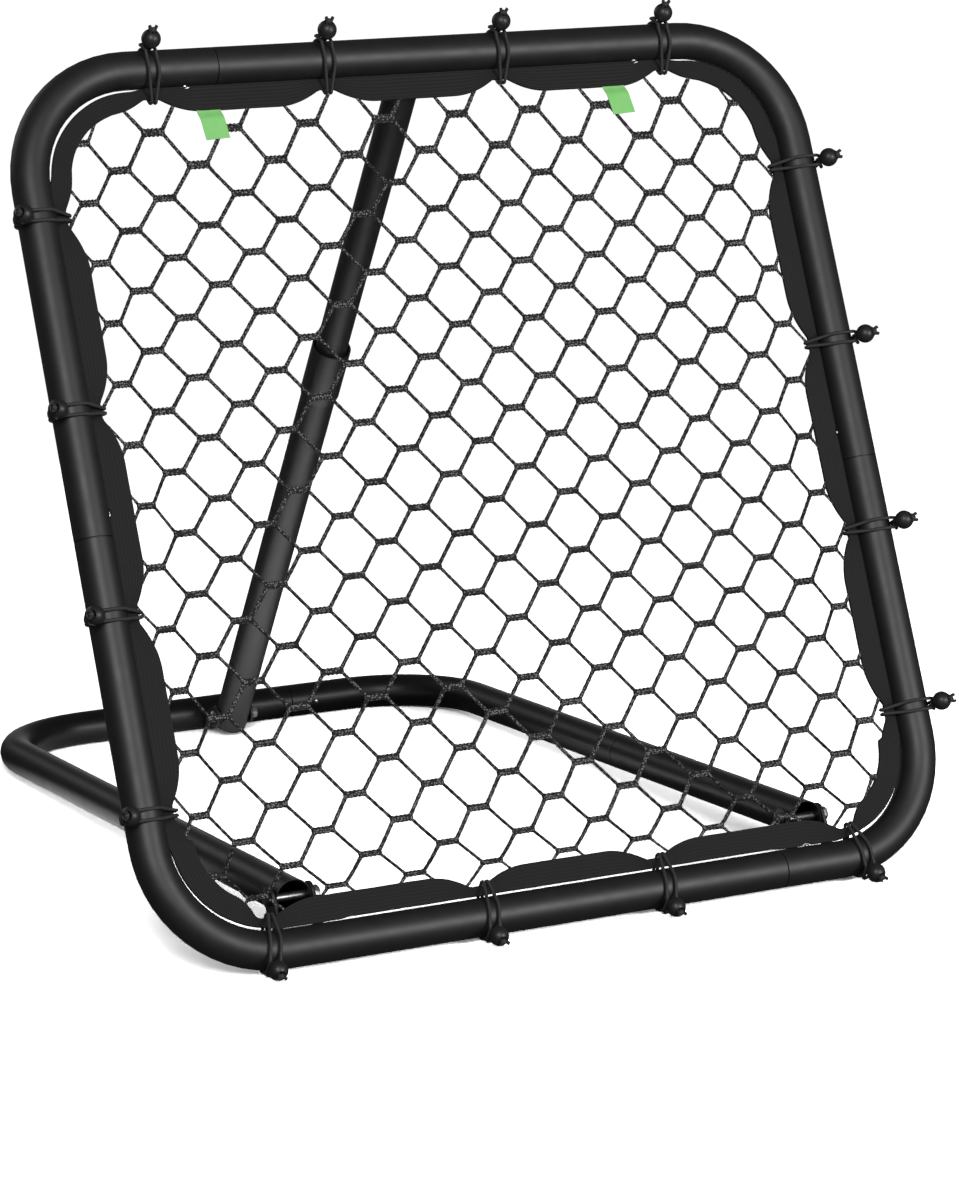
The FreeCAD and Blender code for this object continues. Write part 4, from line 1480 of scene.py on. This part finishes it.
    def cord(self) -> Piece:
        """Round cord along its route, made from a path curve and closed at both ends.

        Returns:
            The cord with its knot, at the origin.
        """
        Bench.clear()
        bpy.ops.curve.primitive_nurbs_path_add()
        piece = bpy.context.object
        curve = piece.data
        curve.splines.clear()
        points = self.route()
        spline = curve.splines.new("NURBS")
        spline.points.add(len(points) - 1)
        for knot, point in zip(spline.points, points):
            knot.co = (*point, 1.0)
        spline.order_u = 3
        spline.use_endpoint_u = True
        spline.resolution_u = 2
        curve.bevel_depth = self.cord_r
        curve.bevel_resolution = 2
        curve.use_fill_caps = True
        bpy.ops.object.convert(target="MESH")
        return Bench.smooth(Bench.join([Bench.take(bpy.context.object), self.knot()], "cord"), 60)

    def knot(self) -> Piece:
        """Knot of a cord's two ends, on the mouth of the ball's hole.

        Returns:
            The knot, at the origin.
        """
        r = self.knot_r
        side = [(r * math.sin(math.pi * i / 8), -r * math.cos(math.pi * i / 8)) for i in range(1, 8)]
        piece = Bench.turned("knot", [(0, -r), *side, (0, r)], 16)
        ray = Vector((self.ball_out, self.ball_front, 0))
        centre = ray.normalized() * (ray.length + self.ball_r + self.knot_proud)
        piece.data.transform(Matrix.Translation(centre) @ ray.to_track_quat("Z", "Y").to_matrix().to_4x4())
        return piece

    def ball(self) -> Piece:
        """Ball with a hole through it, widened at its outer end.

        Returns:
            The ball, at the origin.
        """
        r, hole = self.ball_r, self.hole_r
        start = math.asin(hole / r)
        outside = [(r * math.sin(a), -r * math.cos(a)) for a in
                   (start + (math.pi - 2 * start) * i / 16 for i in range(17))]
        top = outside.pop()[1]
        mouth = [(hole + wider, top - deep) for wider, deep in self.mouth]
        foot = [(hole, outside[0][1] + self.hole_end), outside[0]]
        piece = Bench.turned("ball", [*outside, *mouth, *foot], 36)
        ray = Vector((self.ball_out, self.ball_front, 0))
        piece.data.transform(Matrix.Translation(ray) @ ray.to_track_quat("Z", "Y").to_matrix().to_4x4())
        return Bench.smooth(piece, 40)

    def drift(self, outward: Vector) -> float:
        """How far a bungee's hem end lies to the right of its ball.

        Args:
            outward: Direction out of the frame at the bungee.

        Returns:
            The distance, which is nought at the sides.
        """
        if outward.y < -STRAIGHT:
            return self.drift_bottom
        if outward.y < 0:
            return self.drift_corner
        return self.drift_top if outward.y > STRAIGHT else 0.0

    def leant(self, piece: Piece, point: Vector, outward: Vector) -> Piece:
        """Lean a placed cord to the right, from its ball's side of the tube to the hem.

        Args:
            piece: Cord to lean.
            point: Its place on the tube's axis.
            outward: Direction out of the frame there.

        Returns:
            The cord.
        """
        drift, low = self.drift(outward), -self.layout.tube_r
        for vertex in piece.data.vertices:
            depth = (point - vertex.co).dot(outward)
            vertex.co.x += drift * max(0.0, (depth - low) / (self.hem_depth - low))
        return piece

    def build(self) -> None:
        """Make one bungee and copy it to every place."""
        cord, ball = self.cord(), self.ball()
        for word, group in self.places().items():
            cords, balls = [], []
            for point, outward in group:
                turn = Matrix((outward, Z_AXIS, outward.cross(Z_AXIS))).transposed().to_4x4()
                place = Matrix.Translation(point) @ turn
                cords.append(self.leant(Bench.copy(cord, place), point, outward))
                balls.append(Bench.copy(ball, place))
            for pieces, name, finish, slot in ((cords, "bungee_cords_", BraidedElastic(), "cord"),
                                               (balls, "bungee_balls_", MouldedPlastic(), "ball")):
                whole = Bench.join(pieces, name + word + "_set")
                self.dresser.dress(whole, Body.FRAME, finish, slot, [name + word])
        bpy.data.objects.remove(cord)
        bpy.data.objects.remove(ball)


@dataclass
class Hem:
    """Webbing band round the net, narrow at each bungee."""

    layout: Layout
    dresser: Dresser
    bungees: Bungees
    proud_spots: Sequence[Vector]
    snug: float = 19.5 * MM
    loose: float = 21.8 * MM
    narrow: float = 30.5 * MM
    wide: float = 45.0 * MM
    wide_top_bend: float = 41.5 * MM
    thick: float = 3.6 * MM
    gather: float = 8.0 * MM
    easing: float = 46.0 * MM
    easing_bend: float = 27.0 * MM
    loose_bottom: float = 247.0 * MM
    loose_below: float = 0.5
    lead: float = 20.0 * MM
    ripple: float = 0.35 * MM
    ripple_length: float = 9.0 * MM
    rounding: float = 1.1 * MM
    notch: float = 5.0 * MM
    fade: float = 12.0 * MM
    stations: int = 960
    strips: int = 8

    @property
    def legs(self) -> tuple[float, float, float]:
        """Lengths of the tube's bottom leg, side leg and bend, on its axis."""
        lay = self.layout
        return lay.width - 2 * lay.frame_bend, lay.height - 2 * lay.frame_bend, lay.frame_bend * math.pi / 2

    def at(self, way: float) -> tuple[Vector, Vector]:
        """Point of the tube's axis and its outward direction, a way along from the bottom left bend.

        Args:
            way: Distance along the tube's axis.

        Returns:
            The point and the direction.
        """
        across, up, arc = self.legs
        x, y = across / 2, self.layout.frame_bend
        top = self.layout.height - y
        pieces = [(across, (-x, y), -90.0), (arc, (x, y), -90.0), (up, (x, y), 0.0), (arc, (x, top), 0.0),
                  (across, (x, top), 90.0), (arc, (-x, top), 90.0), (up, (-x, top), 180.0),
                  (arc, (-x, y), 180.0)]
        way %= 2 * across + 2 * up + 4 * arc
        for length, start, heading in pieces:
            if way <= length:
                break
            way -= length
        turn = math.radians(heading) + (way / y if length == arc else 0.0)
        outward = Vector((math.cos(turn), math.sin(turn), 0))
        origin = Vector((*start, 0))
        if length != arc:
            origin += Vector((-outward.y, outward.x, 0)) * way
        return origin + outward * y, outward

    def gap(self, point: Vector, outward: Vector) -> float:
        """Distance of the outer edge from the tube's axis: snug, but loose in bends, below and at buttons.

        Args:
            point: Point of the tube's axis.
            outward: Direction out of the frame there.

        Returns:
            The distance.
        """
        lay = self.layout
        bend = min(6 * abs(outward.x * outward.y), 1.0)
        if outward.y > STRAIGHT:
            bend = 1 - (lay.half_width - lay.frame_bend - abs(point.x)) / self.lead
        below = min((self.loose_bottom - abs(point.x)) / self.fade, 1.0) if outward.y < -STRAIGHT else 0.0
        near = min((spot - point).length for spot in self.proud_spots)
        button = (self.notch - near) / (self.notch / 2)
        return self.snug + (self.loose - self.snug) * eased(max(bend, below * self.loose_below, button))

    def depth(self, point: Vector, outward: Vector) -> float:
        """Distance of the inner edge from the tube's axis: scallops that meet at the bungees.

        Args:
            point: Point of the tube's axis.
            outward: Direction out of the frame there.

        Returns:
            The distance.
        """
        line = point - outward * self.narrow
        spots = [p - o * self.narrow for group in self.bungees.places().values() for p, o in group]
        near = min((spot - line).length for spot in spots)
        round_bend = held(6 * abs(outward.x) - 0.9) if -STRAIGHT < outward.y < -0.01 else 0.0
        easing = self.easing + (self.easing_bend - self.easing) * round_bend
        ease = held((near - self.gather) / easing)
        top_bend = held(4 * abs(outward.x) * outward.y)
        wide = self.wide + (self.wide_top_bend - self.wide) * top_bend
        return self.narrow + (wide - self.narrow) * ease * (2 - ease)

    def build(self) -> Piece:
        """Lay a grid along the frame, thicken it and round its edges.

        Returns:
            The band.
        """
        Bench.clear()
        bpy.ops.mesh.primitive_grid_add(x_subdivisions=self.stations, y_subdivisions=self.strips, size=1.0)
        band = bpy.context.object
        across, up, arc = self.legs
        total = 2 * across + 2 * up + 4 * arc
        for vertex in band.data.vertices:
            along, over = (vertex.co.x + 0.5) * total, vertex.co.y + 0.5
            axis, outward = self.at(along)
            outer, inner = self.gap(axis, outward), self.depth(axis, outward)
            ripple = self.ripple * math.sin(along / self.ripple_length) * math.sin(math.pi * over)
            vertex.co = axis - outward * (inner + (outer - inner) * over) + Z_AXIS * ripple
        Bench.edit(band)
        bpy.ops.mesh.remove_doubles(threshold=0.01 * MM)
        Bench.close()
        Bench.modify(band, "SOLIDIFY", thickness=self.thick, offset=0.0)
        Bench.bevel(band, self.rounding, 60, 3)
        band.name = "hem_band"
        Bench.smooth(band, 50)
        self.dresser.dress(band, Body.FRAME, Webbing(), "webbing", ["hem"])
        self.wide - self.snug
        return band


@dataclass
class Net:
    """Hexagonal net of twisted twine with long knots, drawn out of its even pattern at its edges."""

    layout: Layout
    dresser: Dresser
    bungees: Bungees
    pitch: float = 41.35 * MM
    row: float = 60.35 * MM
    first_row: float = 710.0 * MM
    knot_length: float = 22.0 * MM
    knot_thick: float = 8.2 * MM
    knot_flat: float = 0.75
    knot_tip: tuple[float, float] = (0.8 * MM, 1.2 * MM)
    knot_shares: tuple[float, float, float] = (0.34, 0.40, 0.5)
    strand_in: float = 1.0 * MM
    swell: float = 1.16
    rising_r: float = 2.0 * MM
    falling_r: float = 1.6 * MM
    strand_apart: float = 1.5 * MM
    edge: float = 28.0 * MM
    hidden: float = 11.0 * MM
    side_pull: float = 0.23
    side_reach: float = 82.0 * MM
    held_share: float = 0.5
    held_reach: float = 90.0 * MM
    low_lift: float = 21.0 * MM
    low_reach: float = 100.0 * MM
    low_slide: float = 5.5 * MM
    slide_full: float = 60.0 * MM
    slide_reach: float = 137.0 * MM
    top_pull: float = 0.175
    top_reach: float = 108.0 * MM
    top_fade: tuple[float, float] = (300.0 * MM, 360.0 * MM)
    ribs: int = 5
    twists: int = 8
    pressed: float = 0.5
    pressed_from: float = 20.0 * MM

    def knot(self) -> Piece:
        """Ribbed knot bar along X, spun from its outline and flattened.

        Returns:
            The knot.
        """
        half = self.knot_length / 2
        shoulder, tip = self.knot_tip
        end, valley, crest = self.knot_shares
        profile = [(0.0, -half - tip), (end, -half - shoulder)]
        for rib in range(self.ribs):
            low = -half + 2 * half * rib / self.ribs
            profile += [(valley, low), (crest, low + half / self.ribs)]
        profile += [(valley, half), (end, half + shoulder), (0.0, half + tip)]
        rings = [(share * self.knot_thick, height) for share, height in profile]
        bar = Bench.turned("knot", rings, 8)
        bar.data.transform(Matrix.Diagonal((self.knot_flat, 1, 1, 1)))
        bar.data.transform(rotation(90, "Y"))
        return bar

    def strand(self, radius: float) -> Piece:
        """Twisted strand from one knot's end to the next one's, at the right and above.

        Args:
            radius: Radius of the twine.

        Returns:
            The strand.
        """
        inset, apart = self.knot_length / 2 - self.strand_in, self.strand_apart
        start, end = Vector((inset, apart, 0)), Vector((self.pitch - inset, self.row / 2 - apart, 0))
        step = (end - start) / self.twists
        twine = Bench.disc("strand", start, step, radius, 6)
        Bench.edit(twine)
        for twist in range(self.twists):
            swell = 1 / self.swell if twist % 2 else self.swell
            Bench.pull(step)
            bpy.ops.transform.resize(value=(swell, swell, swell), center_override=start + step * (twist + 1))
        Bench.close()
        return twine

    def inside(self, point: Vector, margin: float) -> bool:
        """Whether a flat point lies within the clipped outline plus a margin.

        Args:
            point: Flat point.
            margin: How far past the outline still counts.

        Returns:
            True where it does.
        """
        lay, r = self.layout, self.layout.frame_bend - self.edge
        x = max(abs(point.x) - (lay.half_width - self.edge - r), 0.0)
        y = max(abs(point.y - lay.height / 2) - (lay.height / 2 - self.edge - r), 0.0)
        return math.hypot(x, y) < r + margin

    def planes(self) -> Iterable[tuple[Vector, Vector]]:
        """Point and outward direction of every plane that trims the net.

        Returns:
            The planes, one after another.
        """
        lay, r = self.layout, self.layout.frame_bend - self.edge
        for i in range(32):
            turn = 2 * math.pi * (i + 0.5) / 32 if i % 8 else math.pi / 2 * (i // 8)
            outward = Vector((math.cos(turn), math.sin(turn), 0))
            x = math.copysign(lay.half_width - self.edge - r, outward.x)
            y = math.copysign(lay.height / 2 - self.edge - r, outward.y)
            yield Vector((x, lay.height / 2 + y, 0)) + outward * r, outward

    def pulled(self, point: Vector) -> Vector:
        """Where a point of the even pattern lies in the stretched net.

        Args:
            point: Point of the even pattern.

        Returns:
            The moved point.
        """
        lay = self.layout
        near = min(abs(point.y - lay.height * share) for share in self.bungees.side)
        grip = self.held_share * held(1 - near / self.held_reach)
        reach = max(0.0, self.side_reach - lay.half_width + abs(point.x))
        side = math.copysign(self.side_pull * (1 - grip) * reach, point.x)
        slide = held((self.slide_reach - point.y) / (self.slide_reach - self.slide_full))
        low = self.low_lift * (max(0.0, self.low_reach - point.y) / self.low_reach) ** 2
        inner, outer = self.top_fade
        fade = held((outer - abs(point.x)) / (outer - inner))
        high = self.top_pull * fade * max(0.0, self.top_reach - lay.height + point.y)
        return Vector((point.x - side + self.low_slide * slide, point.y + low + high, point.z))

    def build(self) -> Piece:
        """Copy the knot and the strands over the lattice and trim them under the hem.

        Returns:
            The net.
        """
        lay = self.layout
        knot, up, slim = self.knot(), self.strand(self.rising_r), self.strand(self.falling_r)
        down = Bench.copy(slim, Matrix.Diagonal((1, -1, 1, 1)))
        columns = int(lay.half_width / self.pitch) + 1
        rows = int(lay.height / self.row) + 2
        parts = []
        for column in range(-columns, columns + 1):
            start = self.first_row + (self.row / 2 if column % 2 else 0.0)
            for row in range(-rows, rows):
                spot = Vector((column * self.pitch, start + row * self.row, 0))
                if self.inside(self.pulled(spot), -self.hidden):
                    parts.append(Bench.copy(knot, Matrix.Translation(spot)))
                for twine, sign in ((up, 1), (down, -1)):
                    if self.inside(spot + Vector((self.pitch / 2, sign * self.row / 4, 0)), self.knot_length):
                        parts.append(Bench.copy(twine, Matrix.Translation(spot)))
        net = Bench.join(parts, "net_mesh")
        for piece in (knot, up, slim, down):
            bpy.data.objects.remove(piece)
        for vertex in net.data.vertices:
            vertex.co = self.pulled(vertex.co)
            if not self.inside(vertex.co, -self.pressed_from):
                vertex.co.z *= self.pressed
        Bench.edit(net)
        for point, outward in self.planes():
            bpy.ops.mesh.select_all(action="SELECT")
            bpy.ops.mesh.bisect(plane_co=point, plane_no=outward, clear_outer=True, use_fill=False)
        bpy.ops.object.mode_set(mode="OBJECT")
        Bench.smooth(net, 60)
        return self.dresser.dress(net, Body.FRAME, Netting(), "webbing", ["net"])


@dataclass
class Tags:
    """Two plain cloth tags sewn into the top hem, hanging in front of the net."""

    layout: Layout
    dresser: Dresser
    hem: Hem
    width: float = 25.0 * MM
    drop: float = 31.0 * MM
    overlap: float = 5.0 * MM
    thick: float = 0.6 * MM
    sewn_in: float = 1.0 * MM
    proud: float = 5.0 * MM
    places: tuple[float, float] = (-228.0 * MM, 224.0 * MM)
    slants: tuple[float, float] = (6.0, 8.5)
    turned_share: float = 0.35
    curl: float = 0.35
    wave: float = 0.4 * MM
    wave_turn: float = 3.0

    def build(self) -> None:
        """Make and hang both tags."""
        for place, slant, word in zip(self.places, self.slants, ("left", "right")):
            Bench.clear()
            bpy.ops.mesh.primitive_grid_add(x_subdivisions=10, y_subdivisions=20, size=1.0)
            tag = bpy.context.object
            length = self.drop + self.overlap
            top = self.layout.height - self.hem.wide + self.overlap
            aside = math.tan(math.radians(slant * (1 - self.turned_share)))
            for vertex in tag.data.vertices:
                x, y = vertex.co.x * self.width, (vertex.co.y - 0.5) * length
                free = held((-y - self.overlap) / (self.curl * self.drop))
                front = self.sewn_in + (self.proud - self.sewn_in) * eased(free)
                wave = self.wave * free * math.sin(x / self.width * self.wave_turn)
                vertex.co = Vector((x - y * aside, y, front + wave))
            Bench.modify(tag, "SOLIDIFY", thickness=self.thick, offset=0.0)
            tag.name = "tag_" + word
            tag.data.transform(Matrix.Translation((place, top, 0)) @ rotation(slant * self.turned_share, "Z"))
            Bench.smooth(tag, 50)
            self.dresser.dress(tag, Body.FRAME, GreenTape(), "tag", ["tags"])


@dataclass
class Studio:
    """Floor, lights, surroundings and camera."""

    eye: Point = (-1.71003, -3.26666, 1.14874)
    heading: Point = (77.4448, 0.8114, -26.4700)
    lens: float = 117.67
    sensor: float = 36.0
    floor_size: float = 5.2
    floor_grey: float = 0.12
    floor_white: float = 5.0
    # Painted reflection patch on the floor: its strength, the distances over which it fades, and its middle.
    painted_reflection_strength: float = 1.7
    painted_reflection_spread: tuple[float, float] = (0.05, 0.38)
    painted_reflection_middle: Point = (-0.11, 0.55, 0.0)
    white: float = 1.05
    room: float = 0.08
    backdrop: Point = (0.44, 0.88, -0.18)
    backdrop_edge: tuple[float, float] = (0.9, 0.98)
    ambient: float = 0.12
    aim: Point = (0.0, 0.3, 0.4)
    key: float = 100.0
    lamps: tuple[tuple[str, Point, float, float], ...] = (
        ("left_light", (-1.8, -3.5, 2.5), 1.4, 1.0),
        ("right_light", (1.9, -3.7, 1.3), 1.4, 1.0),
        ("back_light", (-1.6, 3.8, 2.2), 1.8, 0.12),
    )

    def floor(self) -> None:
        """Pale floor, with a painted reflection patch that only mirrored rays see."""
        Bench.clear()
        bpy.ops.mesh.primitive_plane_add(size=self.floor_size)
        floor = bpy.context.object
        floor.name = "floor"
        palette = Palette("pale_floor", 0.9, gloss=0.0)
        # Painted reflection: near its middle, the floor's colour is raised for mirrored rays only, which
        # paints a highlight on the strut and the base arms beside it.
        near = palette.away(self.painted_reflection_middle).spread(*self.painted_reflection_spread, self.painted_reflection_strength, 0.0)
        camera, mirrored = palette.rays()
        palette.blend(camera + mirrored * near, (self.floor_grey,) * 3, (self.floor_white,) * 3)
        floor.data.materials.append(palette.material)

    def sky(self) -> None:
        """White backdrop to the camera and in reflections, a dim room and faint light on the object."""
        world = bpy.data.worlds.new("surroundings")
        bpy.context.scene.world = world
        world.use_nodes = True
        graph = Graph(world.node_tree)
        camera, mirrored = graph.rays()
        facing = graph.add("VectorMath", "Value", {0: graph.place("Generated"), 1: self.backdrop},
                           operation="DOT_PRODUCT")
        backdrop = facing.spread(*self.backdrop_edge, self.room, self.white)
        unseen = (camera + mirrored).spread(0.0, 1.0, self.ambient, 0.0)
        level = camera * self.white + mirrored * backdrop + unseen
        shade = next(n for n in graph.tree.nodes if n.type == "BACKGROUND")
        graph.feed(shade, {"Color": (1, 1, 1, 1), "Strength": level})

    def lamp(self, name: str, place: Vector, size: float, power: float) -> None:
        """Square soft light that faces the object.

        Args:
            name: Name of the light.
            place: Where it hangs.
            size: Length of its side.
            power: Watts.
        """
        light = bpy.data.lights.new(name, "AREA")
        light.energy = power
        light.size = size
        lamp = bpy.data.objects.new(name, light)
        lamp.location = place
        lamp.rotation_euler = (Vector(self.aim) - place).to_track_quat("-Z", "Y").to_euler()
        bpy.context.scene.collection.objects.link(lamp)

    def camera(self) -> None:
        """Camera at the photograph's angle."""
        data = bpy.data.cameras.new("camera")
        data.lens = self.lens
        data.sensor_width = self.sensor
        camera = bpy.data.objects.new("camera", data)
        camera.location = self.eye
        camera.rotation_euler = tuple(math.radians(a) for a in self.heading)
        bpy.context.scene.collection.objects.link(camera)
        bpy.context.scene.camera = camera
        bpy.context.scene.view_settings.view_transform = "Standard"

    def build(self) -> None:
        """Set up the whole studio."""
        self.floor()
        self.sky()
        for name, place, size, share in self.lamps:
            self.lamp(name, Vector(place), size, self.key * share)
        self.camera()


def main() -> None:
    """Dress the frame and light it."""
    logging.basicConfig(level=logging.INFO, format="%(message)s")
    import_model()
    layout = Layout()
    dresser = Dresser(layout)
    tubes = TubeSet(layout, dresser)
    tubes.build()
    Hardware(layout, dresser).build()
    Strut(layout, dresser).build()
    bungees = Bungees(layout, dresser)
    bungees.build()
    hem = Hem(layout, dresser, bungees, tubes.proud_spots())
    hem.build()
    Net(layout, dresser, bungees).build()
    Tags(layout, dresser, hem).build()
    Studio().build()


if __name__ == "__main__":
    main()
